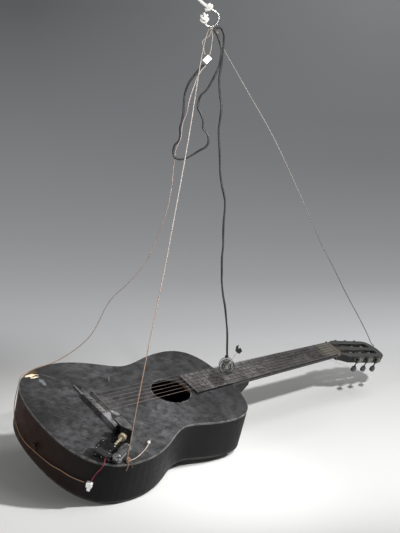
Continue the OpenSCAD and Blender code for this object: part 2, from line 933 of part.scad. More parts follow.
module gear_case() {
    color("#19191a")
        motor_unit()
            difference() {
                union() {
                    block([case_back, case_near, plate_z], [case_front, case_far, case_h]);
                    translate([case_front, shaft_y, shaft_z])
                        rotate([0, 90, 0])
                            cylinder(h = 4, r = 5, $fn = 48);
                }
                translate([case_front - 16, shaft_y, shaft_z])
                    rotate([0, 90, 0])
                        cylinder(h = 20 + cut, r = drive_r + run_gap, $fn = 48);
            }
}

module motor_can() {
    color("#b9b9b6")
        motor_unit()
            translate([can_start, can_y, plate_z + can_d / 2 + 0.02])
                rotate([0, 90, 0]) {
                    cylinder(h = can_len, d = can_d, $fn = 64);
                    translate([0, 0, -2])
                        cylinder(h = 2, d = 8, $fn = 32);
                    translate([0, 0, can_len])
                        cylinder(h = 2, d = 7, $fn = 32);
                }
}

module drive_wheel() {
    color("#c9bd9a")
        motor_unit()
            translate([0, shaft_y, shaft_z])
                rotate([0, 90, 0]) {
                    translate([0, 0, case_front - 14])
                        cylinder(h = drive_end - case_front + 14, r = drive_r, $fn = 48);
                    translate([0, 0, wheel_x])
                        difference() {
                            cylinder(h = wheel_w, d = wheel_d, $fn = 48);
                            translate([0, 0, wheel_w / 2])
                                rotate_extrude($fn = 48)
                                    translate([wheel_d / 2 + 0.6, 0])
                                        circle(r = 1.8, $fn = 24);
                        }
                }
}

// --- hanging capsule -------------------------------------------------------------------------

// Its axis lies level; local +X points down
module capsule_frame() {
    translate(capsule_at)
        rotate([0, 0, capsule_turn])
            rotate([0, 90, 0])
                children();
}

capsule_shaft_r = 1;
coil_d = 22;
coil_t = 8;

module capsule_shell() {
    color([0.85, 0.88, 0.9, 0.35])
        capsule_frame()
            difference() {
                translate([0, 0, -capsule_t / 2])
                    cylinder(h = capsule_t, d = capsule_d, $fn = 64);
                translate([0, 0, -capsule_t / 2 + shell_t])
                    cylinder(h = capsule_t - 2 * shell_t, d = capsule_d - 2 * shell_t, $fn = 64);
                cylinder(h = capsule_t, r = capsule_shaft_r + 0.5, $fn = 24);
            }
}

module capsule_motor() {
    color("#8c8880")
        capsule_frame()
            difference() {
                union() {
                    translate([0, 0, -capsule_t / 2 + shell_t])
                        cylinder(h = coil_t, d = coil_d, $fn = 64);
                    translate([coil_d / 2 - 3, -4, -capsule_t / 2 + shell_t])
                        cube([5, 8, coil_t]);
                }
                translate([0, 0, -capsule_t / 2 + shell_t + 2])
                    cylinder(h = coil_t, r = capsule_shaft_r + run_gap, $fn = 32);
            }
}

module striker() {
    hub_z = capsule_t / 2 + 1;
    color("#151516")
        capsule_frame() {
            translate([0, 0, -capsule_t / 2 + shell_t + 2.5])
                cylinder(h = capsule_t - shell_t + 1.5, r = capsule_shaft_r, $fn = 32);
            translate([0, 0, hub_z])
                cylinder(h = 3, r = 3, $fn = 32);
            rotate([0, 0, striker_turn]) {
                translate([0, 0, hub_z + 1.5])
                    rotate([0, 90, 0])
                        cylinder(h = striker_reach - 8, r = 0.6, $fn = 24);
                translate([0, 0, hub_z])
                    linear_extrude(3)
                        polygon([
                            [striker_reach - 9, -5], [striker_reach - 1, -7], [striker_reach + 3, -1],
                            [striker_reach - 1, 3], [striker_reach + 6, 6], [striker_reach + 1, 9],
                            [striker_reach - 8, 5]
                        ]);
            }
        }
}

// --- hook, ring and terminals ----------------------------------------------------------------

module ceiling_hook() {
    color("#a9a7a2") {
        translate([0, 0, hook_z + hook_r - 1])
            cylinder(h = shank_top - hook_z - hook_r + 1, r = hook_wire_r, $fn = 48);
        translate([0, 0, -3])
            cylinder(h = 3, r = 7, $fn = 48);
        translate([0, 0, hook_z])
            rotate([90, 0, 0])
                rotate([0, 0, -160])
                    rotate_extrude(angle = 250, $fn = 64)
                        translate([hook_r, 0])
                            circle(r = hook_wire_r, $fn = 24);
    }
}

module ring() {
    color("#b5b3ad")
        translate(ring_at)
            rotate([0, 0, capsule_turn])
                rotate([0, 90, 0])
                    rotate_extrude($fn = 64)
                        translate([ring_r, 0])
                            circle(r = ring_wire_r, $fn = 24);
}

module terminal(size) {
    translate([-size[0] / 2, -size[1] / 2, -size[2] / 2])
        difference() {
            cube(size);
            for (y = [0.28, 0.72])
                translate([-cut, size[1] * y, size[2] * 0.5])
                    rotate([0, 90, 0])
                        cylinder(h = size[0] + 2 * cut, r = 0.9, $fn = 24);
        }
}

module upper_terminal() {
    color("#e4e2da")
        translate(upper_terminal_at)
            rotate([0, 45, capsule_turn + 90])
                terminal(terminal_size);
}

module lower_terminal() {
    color("#e4e2da")
        hung()
            translate(lower_terminal_at)
                rotate([0, 0, 130]) {
                    terminal([terminal_size[0], terminal_size[1], terminal_size[2] - 5]);
                    translate([0, 0, -(terminal_size[2] - 5) / 2 - 4])
                        cube([terminal_size[0] - 5, terminal_size[1] - 3, 9], center = true);
                }
}

// --- cords -----------------------------------------------------------------------------------

// A direction that no stretch of the cords runs along
cord_ref = [0.62, 0.78, 0.1];

module rope() {
    color("#e9e6dc")
        tube(rope_route, [for (s = rope_swell) s * rope_d / 2], 8, cord_ref);
}

module near_cord() {
    color("#b39a80")
        cord(near_cord_route, cord_d, cord_ref);
}

module head_cord() {
    color("#a08a78")
        cord(head_cord_route, cord_d, cord_ref);
}

module side_wire() {
    color("#a88566")
        cord(side_wire_route, side_wire_d, [0.8, 0.1, 0.6]);
}

module twin_cable() {
    color("#141415")
        cord(twin_cable_route, twin_d, cord_ref);
}

module red_lead() {
    color("#b5272d")
        cord(red_lead_route, lead_d, [1, 0.2, 0.1]);
}

soundboard();
ribs();
back();
top_lining();
back_lining();
top_braces();
back_braces();
tail_block();
neck_block();
neck();
fingerboard();
frets();
nut();
bridge();
bridge_wing();
saddle();
string_1();
string_2();
string_3();
string_4();
string_5();
string_6();
tuner_plate_near();
tuner_plate_far();
tuner_screws();
roller_1();
roller_2();
roller_3();
roller_4();
roller_5();
roller_6();
tuner_key_1();
tuner_key_2();
tuner_key_3();
tuner_key_4();
tuner_key_5();
tuner_key_6();
strap_pin();
screw_eye_far();
screw_eye_near();
motor_bracket();
gear_case();
motor_can();
drive_wheel();
capsule_shell();
capsule_motor();
striker();
ceiling_hook();
ring();
upper_terminal();
lower_terminal();
rope();
near_cord();
head_cord();
side_wire();
twin_cable();
red_lead();
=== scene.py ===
# %% [markdown]
# # A worn black guitar, hung by cords
# The object is a full-size acoustic guitar, painted black by hand and long since rubbed, chipped and
# splintered. Two cords hold it under a steel ring, two small motors sit on it and beside it, and thin
# wires join them. The construction comes as a fixed frame of named parts. This lesson adds what the
# frame leaves out: cord twist, knots, torn wood, rounded mouldings, and a finish for each surface.

# %% Load the fixed frame
import json
import math
import random

import bmesh
import bpy
import numpy as np
from mathutils import Matrix, Vector

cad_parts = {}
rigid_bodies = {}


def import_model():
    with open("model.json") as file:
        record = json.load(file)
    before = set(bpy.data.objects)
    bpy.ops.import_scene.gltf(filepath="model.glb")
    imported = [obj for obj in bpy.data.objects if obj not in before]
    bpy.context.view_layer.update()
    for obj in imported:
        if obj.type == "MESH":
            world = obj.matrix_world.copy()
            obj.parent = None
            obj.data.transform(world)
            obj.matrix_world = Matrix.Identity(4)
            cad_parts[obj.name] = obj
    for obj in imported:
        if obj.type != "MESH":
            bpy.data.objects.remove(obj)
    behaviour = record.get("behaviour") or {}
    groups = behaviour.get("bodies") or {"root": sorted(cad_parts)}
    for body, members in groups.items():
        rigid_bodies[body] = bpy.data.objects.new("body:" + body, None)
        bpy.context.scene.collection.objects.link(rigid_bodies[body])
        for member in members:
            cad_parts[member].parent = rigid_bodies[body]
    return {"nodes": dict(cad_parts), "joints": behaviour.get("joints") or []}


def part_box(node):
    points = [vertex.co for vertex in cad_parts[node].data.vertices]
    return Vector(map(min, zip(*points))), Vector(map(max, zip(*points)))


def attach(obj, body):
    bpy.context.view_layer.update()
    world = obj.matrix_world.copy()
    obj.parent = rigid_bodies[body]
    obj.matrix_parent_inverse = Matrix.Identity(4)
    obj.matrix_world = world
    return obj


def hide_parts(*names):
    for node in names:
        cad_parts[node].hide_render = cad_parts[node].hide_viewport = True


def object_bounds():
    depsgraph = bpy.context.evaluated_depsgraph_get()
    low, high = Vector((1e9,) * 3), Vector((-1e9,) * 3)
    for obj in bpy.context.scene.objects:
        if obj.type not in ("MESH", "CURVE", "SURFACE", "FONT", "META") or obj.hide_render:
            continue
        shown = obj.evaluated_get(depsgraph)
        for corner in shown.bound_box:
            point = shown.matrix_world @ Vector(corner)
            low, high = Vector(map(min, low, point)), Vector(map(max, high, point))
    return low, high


for leftover in list(bpy.data.objects):
    bpy.data.objects.remove(leftover)
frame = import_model()
nodes = frame["nodes"]
joints = {joint["name"]: joint for joint in frame["joints"]}
cad_low, cad_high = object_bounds()
MM = 0.001
print(len(nodes), "parts in the frame,", [round(v, 3) for v in cad_high - cad_low], "metres overall")

# %% [markdown]
# Almost every place on this object is easiest to give in the guitar's own frame, in millimetres from
# the butt of the soundboard. One matrix takes such a place to the shared frame. The sideways tilt is
# read from the axis of a string roller, which lies straight across the head.

# %% Places on the tilted guitar
roller_axis = joints["roller_1_turn"]["axis"]
tilt = math.atan2(roller_axis[2], roller_axis[1])
butt_y, butt_z = 0.010, -0.850
butt = Vector((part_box("soundboard")[0].x, butt_y, butt_z))
guitar = Matrix.Translation(butt) @ Matrix.Rotation(tilt, 4, "X") @ Matrix.Scale(MM, 4)
unit_corner = (90, -125, 0)
unit_turn = math.radians(28)
motor_unit = guitar @ Matrix.Translation(unit_corner) @ Matrix.Rotation(unit_turn, 4, "Z")
capsule_at = Vector(joints["striker_turn"]["pos_m"])
facing = Vector(joints["striker_turn"]["axis"])
overhead = Vector((0, 0, 1))
beside = facing.cross(overhead).normalized()
print("tilt", round(math.degrees(tilt), 1), "degrees; the capsule faces", [round(v, 2) for v in facing])

# %% [markdown]
# The camera comes early, because the cords are judged in its view. It stands in front and to the left
# of the butt, about 0.7 m above it, and looks across the body to the head. A wide lens close by would
# swell the near end of the body, so a long lens stands further off.

# %% Camera
long_lens_mm = 74.78
camera_stand = Vector((-1.35781, -1.70867, -0.12901))
ahead = Vector((0.62368, 0.75406, -0.20595))
to_right = Vector((0.77106, -0.63675, 0.00362))
camera_data = bpy.data.cameras.new("camera")
camera_data.lens = long_lens_mm
camera_data.sensor_width = 36
camera_data.clip_end = 50
camera = bpy.data.objects.new("camera", camera_data)
camera_axes = Matrix((to_right, to_right.cross(ahead), -ahead)).transposed()
camera.matrix_world = Matrix.Translation(camera_stand) @ camera_axes.to_4x4()
bpy.context.scene.collection.objects.link(camera)
bpy.context.scene.camera = camera
print("lens", long_lens_mm, "mm")

# %% [markdown]
# A material here is a small tree of nodes. One helper adds any node, sets it and links it. Colours are
# written as sRGB hex and turned to linear light once. Every pattern is scaled from a size in
# millimetres: a noise of scale s repeats about s times in a metre.

# %% Helpers for materials
def linear(code):
    parts = [int(code[k:k + 2], 16) / 255 for k in (1, 3, 5)]
    return tuple(c / 12.92 if c <= 0.04045 else ((c + 0.055) / 1.055) ** 2.4 for c in parts) + (1.0,)


def add(tree, kind, inputs=None, stops=(), out=0, **settings):
    """Add a node, set it, fill or link its inputs, and give back one output; a hex code is a colour."""
    made = tree.nodes.new("ShaderNode" + kind)
    for name, value in settings.items():
        setattr(made, name, value)
    for name, value in (inputs or {}).items():
        if isinstance(value, bpy.types.NodeSocket):
            tree.links.new(value, made.inputs[name])
        else:
            made.inputs[name].default_value = linear(value) if isinstance(value, str) else value
    for k, (position, code) in enumerate(stops):
        elements = made.color_ramp.elements
        stop = elements[k] if k < 2 else elements.new(position)
        stop.position, stop.color = position, linear(code)
    return made.outputs[out] if made.outputs else made


def per_metre(size_mm):
    return 1000 / size_mm


def begin(name, shader_values):
    """A new material; a recipe works on its tree and its shader."""
    material = bpy.data.materials.new(name)
    material.use_nodes = True
    tree = material.node_tree
    tree.nodes.clear()
    surface = add(tree, "BsdfPrincipled", shader_values)
    add(tree, "OutputMaterial", {"Surface": surface})
    return material, tree, surface.node


# The Mix node keeps its colour sockets at these places, after those for numbers and vectors.
MASK, UNDER, OVER, MIXED = 0, 6, 7, 2


def lay_over(tree, under, over, pattern, start, stop, cover=1.0):
    """Lay one shade over another as a pattern goes from start to stop; cover is how much it hides."""
    mask = add(tree, "MapRange", {"Value": pattern, "From Min": start, "From Max": stop, "To Max": cover})
    return add(tree, "Mix", {MASK: mask, UNDER: under, OVER: over}, out=MIXED, data_type="RGBA")


def give_skin(tree, shader, shade, height, depth_mm, strength):
    """Give the shader its colour and its small ups and downs."""
    relief = add(tree, "Bump", {"Height": height, "Distance": depth_mm * MM, "Strength": strength})
    tree.links.new(shade, shader.inputs["Base Color"])
    tree.links.new(relief, shader.inputs["Normal"])


print("white paper is", [round(c, 2) for c in linear("#e8e8e4")])

# %% [markdown]
# ## Cords and wires
# A cord is a few strands laid round each other, so its section has as many lobes as strands and turns
# as it goes. It could be a round curve with a bump pattern, but real lobes catch the light and hold up
# close by. One sweep makes them all: a smooth path through the chosen points, then rings of the lobed
# section along it. The points are the ones that the frame's own plain tubes follow.

# %% A smooth path
def smooth_path(points, step):
    """Points about one step apart on a curve through the given ones."""
    pts = [Vector(p) for p in points]
    pts = [2 * pts[0] - pts[1]] + pts + [2 * pts[-1] - pts[-2]]
    out = []
    for a, b, c, d in zip(pts, pts[1:], pts[2:], pts[3:]):
        count = max(1, round((c - b).length / step))
        for k in range(count):
            t = k / count
            out.append(0.5 * (2 * b + (c - a) * t + (2 * a - 5 * b + 4 * c - d) * t * t
                              + (3 * b - a - 3 * c + d) * t ** 3))
    return out + [pts[-2]]


def length_of(path):
    return sum((b - a).length for a, b in zip(path, path[1:]))


print("the path through three places 10 mm apart is",
      round(1000 * length_of(smooth_path([(0, 0, 0), (0.01, 0, 0), (0.01, 0.01, 0)], 0.001)), 1), "mm long")

# %% [markdown]
# Every mesh here starts as rings of corners, with faces between the rings and a cap or a point at each
# end. Primitives with modifiers could do some of it, but rings give the same control over them all.

# %% Rings of faces
def new_piece(name, bm, body="guitar", material=None, smooth=True):
    mesh = bpy.data.meshes.new(name)
    bmesh.ops.recalc_face_normals(bm, faces=bm.faces)
    bm.to_mesh(mesh)
    bm.free()
    if smooth:
        mesh.polygons.foreach_set("use_smooth", [True] * len(mesh.polygons))
    piece = bpy.data.objects.new(name, mesh)
    bpy.context.scene.collection.objects.link(piece)
    if material:
        mesh.materials.append(material)
    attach(piece, body)
    return piece


def around(sides):
    return [2 * math.pi * s / sides for s in range(sides)]


def join_rings(bm, rings, ends=True):
    """Faces between each ring of corners and the next, and across both ends."""
    for first, second in zip(rings, rings[1:]):
        for s, corner in enumerate(first):
            after = (s + 1) % len(first)
            bm.faces.new((corner, first[after], second[after], second[s]))
    if ends:
        bm.faces.new(list(reversed(rings[0])))
        bm.faces.new(rings[-1])


def fan(bm, ring, tip_at):
    """Close a ring of corners to one point."""
    tip = bm.verts.new(tip_at)
    for s, corner in enumerate(ring):
        bm.faces.new((corner, ring[(s + 1) % len(ring)], tip))


print("the corners of a ring of six stand", round(math.degrees(around(6)[1])), "degrees apart")

# %% [markdown]
# The sweep carries a section along a path without letting it spin by itself, then adds the lay of the
# cord: one full turn for each length of twist.

# %% A lobed sweep
def sweep(bm, path, section, twist_length):
    """Closed tube along a path; section gives a radius at each angle, for one turn."""
    tangent = (path[1] - path[0]).normalized()
    side = tangent.orthogonal().normalized()
    gone = 0.0
    rings = []
    for k, point in enumerate(path):
        new_tangent = (path[min(k + 1, len(path) - 1)] - path[max(k - 1, 0)]).normalized()
        side.rotate(tangent.rotation_difference(new_tangent))
        tangent = new_tangent
        if k:
            gone += (point - path[k - 1]).length
        other = tangent.cross(side)
        turn = 2 * math.pi * gone / twist_length
        rings.append([
            bm.verts.new(point + radius * (math.cos(turn + a) * side + math.sin(turn + a) * other))
            for radius, a in zip(section, around(len(section)))])
    join_rings(bm, rings)


def swept_piece(name, path, section, twist_mm, material=None):
    bm = bmesh.new()
    sweep(bm, path, section, twist_mm * MM)
    return new_piece(name, bm, material=material)


def lobed(radius, lobes, depth, sides):
    return [radius * (1 - depth + depth * abs(math.cos(lobes * a / 2))) for a in around(sides)]


print("a 2 mm cord of three strands has radii", [round(1000 * r, 2) for r in lobed(0.001, 3, 0.2, 12)][:5])

# %% [markdown]
# Each route is a list of places in millimetres in the shared frame, from the ring down to what the cord
# holds. It could be drawn by hand as a curve object, but a list can be checked against the frame's own
# plain tubes, which follow the same places. Stiff wire has its places close together where it kinks.

# %% Routes
rope_points = [
    (39, -32, -85), (43, -36, -82), (44, -36, -79), (38, -31, -74), (31, -25, -66), (20, -16, -54),
    (10, -11, -44), (5, -8, -35), (1, -1, -27), (-1, 6, -30), (-1, 8, -37), (3, 6, -44),
]
near_cord_points = [
    (46, -37, -118), (36, -37, -140), (22, -44, -170), (4, -53, -217), (-18, -62, -290),
    (-44, -72, -370), (-78, -84, -470), (-112, -96, -570), (-158, -112, -690), (-200, -129, -800),
    (-223, -138, -866), (-235, -143, -894),
]
edge_tie_points = [
    (-235, -143, -894), (-234, -144, -899), (-222, -144, -900), (-204, -139, -898), (-182, -129, -893),
    (-168, -120, -889),
]
head_cord_points = [
    (51, -40, -118), (66, -38, -135), (86, -34, -160), (150, -31, -240), (240, -25, -352),
    (355, -14, -520), (405, -4, -590), (454, 3, -652), (504, 11, -717), (558, 17, -785),
    (594, 22, -831), (617, 26, -863), (628.0, 27.2, -872.4), (626.9, 28.8, -877.0), (625.4, 31.1, -883.5),
]
side_wire_points = [
    (42, -32, -190), (35, -27, -199), (29, -22, -212), (25, -19, -225), (20, -15, -243),
    (17, -10, -262), (17, -4, -283), (12, 3, -304), (10, 6, -331), (2, 11, -353), (-2, 10, -370),
    (-7, 8, -390), (-14, 3, -414), (-22, -1, -439), (-33, -4, -470), (-52, 0, -520), (-73, 13, -573),
    (-100, 32, -612), (-133, 56, -653), (-166, 77, -722), (-213, 112, -768), (-258, 146, -790),
    (-273, 151, -797), (-281, 154, -802), (-287, 153, -815), (-293, 151, -829), (-300, 147, -843),
    (-308, 138, -859), (-316, 123, -875), (-322, 103, -887), (-326, 88, -893), (-328, 65, -903),
    (-328, 41, -909), (-328, 9, -915), (-327, -24, -921), (-321, -49, -926), (-315, -69, -932),
    (-308, -85, -936), (-301, -98, -939),
]
twin_cable_points = [
    (38, -31, -188), (30, -25, -198), (21, -19, -211), (14, -13, -225), (9, -8, -244), (7, -7, -263),
    (6, -7, -281), (4, -5, -297), (1, -3, -311), (1, -3, -325), (-2, -1, -337), (-7, 4, -344),
    (-9, 6, -357), (-7, 4, -368), (1, -2, -372), (11, -9, -370), (21, -16, -364), (32, -25, -355),
    (41, -33, -348), (45, -37, -338), (44, -36, -323), (37, -30, -311), (37, -30, -297),
    (33, -27, -282), (29, -24, -272), (30, -24, -261), (33, -27, -248), (42, -34, -237),
    (49, -40, -222), (55, -45, -207), (61, -49, -191), (63, -52, -173), (64, -52, -158),
    (58, -48, -134), (53, -44, -122), (62, -50, -118), (68, -54, -130), (68, -53, -154),
    (66, -52, -175), (65, -50, -194), (62, -49, -214), (63, -49, -241), (66, -51, -268),
    (64, -50, -293), (62, -48, -315), (63, -49, -342), (64, -50, -370), (64, -51, -397),
    (67, -53, -423), (72, -56, -450), (72, -57, -469), (70, -56, -498), (70, -55, -526),
    (70, -55, -546), (68, -54, -571), (68, -54, -600), (68, -54, -620), (70, -56, -647),
    (73, -59, -672), (75, -61, -700), (77, -62, -727), (77, -62, -755), (77, -62, -772),
    (76, -62, -779),
]
red_lead_points = [
    (-272, -129, -889), (-277, -132, -891), (-281, -134, -896), (-284, -131, -905), (-288, -122, -916),
    (-291, -115, -926), (-295, -110, -937),
]
print(len(side_wire_points), "points down the side wire,", len(twin_cable_points), "on the twin cable")

# %% [markdown]
# Braided cotton, waxed twine and thin flex differ in how they take light. Cotton is matt and pale with
# grey in the hollows; twine is tan with darker twists; PVC insulation has a soft plastic shine.

# %% Fibre and flex materials
def fibre(name, light, dark, strand_mm, rough, lower=None):
    """Fibre in two shades; lower is the shade it darkens to towards the guitar."""
    material, tree, shader = begin(name, {"Roughness": rough})
    where = add(tree, "TexCoord", out="Object")
    fuzz = add(tree, "TexNoise", {"Vector": where, "Scale": per_metre(strand_mm), "Detail": 6.0,
                                  "Roughness": 0.7})
    stains = add(tree, "TexNoise", {"Vector": where, "Scale": per_metre(40 * strand_mm)})
    shade = lay_over(tree, dark, light, fuzz, 0.32, 0.62)
    shade = lay_over(tree, shade, dark, stains, 0.58, 0.75)
    if lower:
        height = add(tree, "SeparateXYZ", {0: where}, out="Z")
        shade = lay_over(tree, shade, lower, height, -0.45, -0.72, 0.75)
    give_skin(tree, shader, shade, fuzz, 0.3, 0.6)
    return material


def flex(name, colour, worn, rough, upper=None, lower=None):
    """Plastic insulation; upper and lower are shades it fades to above and below."""
    pvc_index, grime_mm = 1.53, 12
    material, tree, shader = begin(name, {"Roughness": rough, "IOR": pvc_index})
    where = add(tree, "TexCoord", out="Object")
    grime = add(tree, "TexNoise", {"Vector": where, "Scale": per_metre(grime_mm), "Detail": 5.0})
    shade = lay_over(tree, colour, worn, grime, 0.5, 0.72)
    height = add(tree, "SeparateXYZ", {0: where}, out="Z")
    for fade, start, stop in ((upper, -0.40, -0.25), (lower, -0.72, -0.80)):
        if fade:
            shade = lay_over(tree, shade, fade, height, start, stop)
    give_skin(tree, shader, shade, grime, 0.2, 0.4)
    return material


# Bleached cotton scatters light evenly, so it is the brightest and least glossy thing here.
white_cotton = fibre("white_braided_cotton", "#fdfcf9", "#d9d6cc", 0.6, 0.85)
# Waxed twine keeps dirt in its twists: the same two shades, closer together, and darker lower down.
tan_twine = fibre("tan_waxed_twine", "#a59d96", "#7f7770", 0.4, 0.8, lower="#7f5e43")
pale_twine = fibre("bleached_twine", "#8f8a85", "#6f6b66", 0.4, 0.8, lower="#454340")
white_thread = fibre("white_thread", "#b5aba0", "#857a6f", 0.4, 0.75)
# Extruded PVC is smooth, and dulls unevenly where it has been handled.
brown_flex = flex("brown_pvc_flex", "#7a655b", "#8b7d75", 0.5, upper="#b8a9a4", lower="#b08a66")
black_flex = flex("black_pvc_flex", "#101012", "#222225", 0.5)
red_flex = flex("red_pvc_flex", "#8e1f33", "#6f1c30", 0.4)
print(len(bpy.data.materials), "fibres and flexes")

# %% [markdown]
# Each cord is swept along its own route. It could be a curve object with a bevel, but a mesh can show
# its strands. What each one is, how stiff it is and what it ends in is stated beside it.

# %% Lay the cords
def lay_cord(name, path, width_mm, section, twist_mm, material, slot, node=None, **facts):
    """Sweep one cord; node is the plain part of the frame that it replaces, and the facts are not used."""
    piece = swept_piece(name, path, section, twist_mm, material)
    if node:
        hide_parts(node)
    return piece


def route(points, width_mm):
    return smooth_path([Vector(p) * MM for p in points], 0.4 * width_mm * MM)


def flat_twin(width_mm, sides):
    half = width_mm / 2 * MM
    return [half * (0.70 + 0.30 * abs(math.cos(a)) ** 0.8) for a in around(sides)]


twine_section = lobed(0.001, 3, 0.12, 9)
lay_cord("white_rope", route(rope_points, 6.5), 6.5, lobed(0.00325, 4, 0.22, 16), 22, white_cotton,
         "rope_white", "rope", far_end="knot", stiffness="limp", lay="taut", with_pieces=["ring"])
lay_cord("near_cord_twine", route(near_cord_points, 2.0), 2.0, twine_section, 7, tan_twine,
         "cord_tan", "near_cord", far_end="knot", stiffness="limp", lay="taut")
lay_cord("edge_tie_thread", route(edge_tie_points, 1.8), 1.8, lobed(0.0009, 3, 0.2, 9), 7, white_thread,
         "cord_tan", far_end="object", stiffness="limp", lay="taut")
lay_cord("head_cord_twine", route(head_cord_points, 2.0), 2.0, twine_section, 7, pale_twine,
         "cord_tan", "head_cord", far_end="knot", stiffness="limp", lay="taut")
lay_cord("side_wire_flex", route(side_wire_points, 1.6), 1.6, lobed(0.0008, 2, 0.12, 8), 14, brown_flex,
         "wire_brown", "side_wire", far_end="connector", stiffness="medium", lay="hanging",
         with_pieces=["lower_terminal"])
lay_cord("twin_cable_flex", route(twin_cable_points, 4.4), 4.4, flat_twin(4.4, 12), 160, black_flex,
         "cable_black", "twin_cable", far_end="object", stiffness="medium", lay="hanging",
         with_pieces=["upper_terminal"])
lead_section = lobed(0.0009, 2, 0.1, 8)
lay_cord("red_lead_flex", route(red_lead_points, 1.8), 1.8, lead_section, 18, red_flex,
         "lead_red", "red_lead", far_end="object", stiffness="medium", lay="hanging")

# %% [markdown]
# Knots are where a cord shows that it is real. Each is one strand wound on a torus, twice round it for
# five times through it, which reads as a tight lump of crossing strands. A knot tied turn by turn would
# look the same at this size and take far longer.

# %% Knots and wraps
strand_turn_mm = 6


def knot(name, centre, size_mm, strand_mm, material, turns=(2, 5), lean=0.0):
    """One strand wound on a torus: turns gives its loops and its winds, lean tips it over."""
    loops, winds = turns
    flattened, steps_a_wind = 0.75, 26
    count = steps_a_wind * winds
    spin = Matrix.Rotation(lean, 3, "X") @ Matrix.Rotation(1.1 * lean, 3, "Z")
    path = []
    for k in range(count + 1):
        a = 2 * math.pi * k / count
        radius = size_mm * (0.32 + 0.18 * math.cos(winds * a))
        point = Vector((radius * math.cos(loops * a), radius * math.sin(loops * a) * flattened,
                        0.30 * size_mm * math.sin(winds * a)))
        path.append(Vector(centre) + spin @ point * MM)
    return swept_piece(name, path, lobed(strand_mm / 2 * MM, 3, 0.18, 9), strand_turn_mm, material)


def tail(name, points, strand_mm, material):
    """A short loose end through a few points."""
    path = smooth_path(points, strand_mm * MM * 0.6)
    return swept_piece(name, path, lobed(strand_mm / 2 * MM, 3, 0.2, 8), strand_turn_mm, material)


print("one turn of the strand takes", strand_turn_mm, "mm")

# %% [markdown]
# The rope is knotted over the ring, the twine is wrapped round the ring's foot and tied to the edge of
# the body with two loose tails, and the clear motor hangs from a knot in its own cable.

# %% Tie the knots
def on_guitar(x, y, z):
    return guitar @ Vector((x, y, z))


ring_low, ring_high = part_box("ring")
ring_middle = (ring_low + ring_high) / 2
ring_top = Vector((ring_middle.x, ring_middle.y, ring_high.z))
ring_foot = Vector((ring_middle.x, ring_middle.y, ring_low.z))
knot("rope_knot", ring_top + beside * 0.003 + overhead * 0.003, 14, 4.6, white_cotton, lean=0.7)
knot("rope_knot_on_ring", ring_middle + beside * 0.0125 + facing * 0.003, 18, 4.8, white_cotton, lean=1.6)
knot("ring_foot_wraps", ring_foot - overhead * 0.001, 9, 1.8, tan_twine, turns=(3, 7), lean=0.9)
knot("cable_tie_at_ring", ring_foot + Vector((0.010, -0.006, -0.010)), 6, 1.4, tan_twine, lean=0.4)
edge_knot = on_guitar(92, -161, 4)
knot("edge_knot", edge_knot, 11, 2.2, tan_twine, turns=(3, 7), lean=0.8)
tail("edge_knot_tail_long", [edge_knot, on_guitar(89, -167, 2), on_guitar(88, -169.5, -5),
                             on_guitar(86, -169.5, -13)], 1.8, tan_twine)
tail("edge_knot_tail_short", [edge_knot, on_guitar(95, -167, 3), on_guitar(97, -170, -3),
                              on_guitar(97, -170.5, -9)], 1.8, pale_twine)
head_end = Vector(head_cord_points[-2]) * MM
knot("head_knot", head_end + overhead * 0.001, 5, 1.6, pale_twine, lean=0.5)
thread_end = Vector(edge_tie_points[-1]) * MM
knot("thread_end_knot", thread_end + Vector((0.001, 0.001, 0.002)), 6, 1.1, white_cotton,
     turns=(2, 7), lean=1.3)
knot("capsule_knot", capsule_at + overhead * 0.0195, 7, 2.2, black_flex, lean=0.2)
print("knots tied; the ring's middle is at", [round(v, 3) for v in ring_middle])

# %% [markdown]
# Two short pale leads hang from the ring down to the upper terminal. The frame has no part for them,
# so they are cords of their own.

# %% Leads at the upper terminal
upper_terminal = sum(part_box("upper_terminal"), Vector()) / 2
for letter, out, across in (("a", -0.0045, -0.004), ("b", 0.0045, 0.002)):
    start = ring_foot + Vector((0.001 + 0.3 * across, 0.0, -0.001))
    points = [start, start + beside * (out * 0.8) - overhead * 0.014]
    points += [upper_terminal + beside * (out * spread) + overhead * rise
               for spread, rise in ((2.0, 0.035), (1.6, 0.020), (1.0, 0.0085))]
    lay_cord("terminal_lead_" + letter, smooth_path(points, 0.0008), 1.8, lead_section, 20, white_thread,
             "rope_white", far_end="connector", stiffness="medium", lay="hanging",
             with_pieces=["upper_terminal"])

# %% [markdown]
# ## Pieces the frame leaves plain
# Most pieces below are built in the guitar's own millimetres and then carried across by its matrix.
# Torn wood comes first. A splinter is a long thin wedge with a wandering edge, so a handful of them
# with random lengths reads as spruce that has split along its grain.

# %% Splinters and torn wood
rng = random.Random(11)


def wedge(bm, frame_matrix, length, width, height, bends=5):
    """A splinter along +X: thick at its root, thin and ragged at its tip."""
    rings = []
    for k in range(bends + 1):
        t = k / bends
        w = width * (1 - t) ** 0.8 * rng.uniform(0.75, 1.1) + 0.12
        h = height * (1 - 0.85 * t) + 0.1
        drift = width * 0.25 * rng.uniform(-1, 1) * (0 < t < 1)
        corners = ((-w / 2, 0), (w / 2, 0.0), (w / 2 * 0.6, h), (-w / 2 * 0.5, h * rng.uniform(0.7, 1)))
        rings.append([bm.verts.new(frame_matrix @ Vector((t * length, y + drift, z))) for y, z in corners])
    join_rings(bm, rings)


def splinters(name, places):
    """Each place is x, y, z, turn in degrees, length, width and height, in guitar millimetres."""
    bm = bmesh.new()
    for x, y, z, turn, length, width, height in places:
        m = guitar @ Matrix.Translation((x, y, z)) @ Matrix.Rotation(math.radians(turn), 4, "Z")
        wedge(bm, m @ Matrix.Rotation(math.radians(-rng.uniform(0, 3)), 4, "Y"), length, width, height)
    return new_piece(name, bm, smooth=False)


print("each group of splinters is one piece; the draws start from a fixed seed")

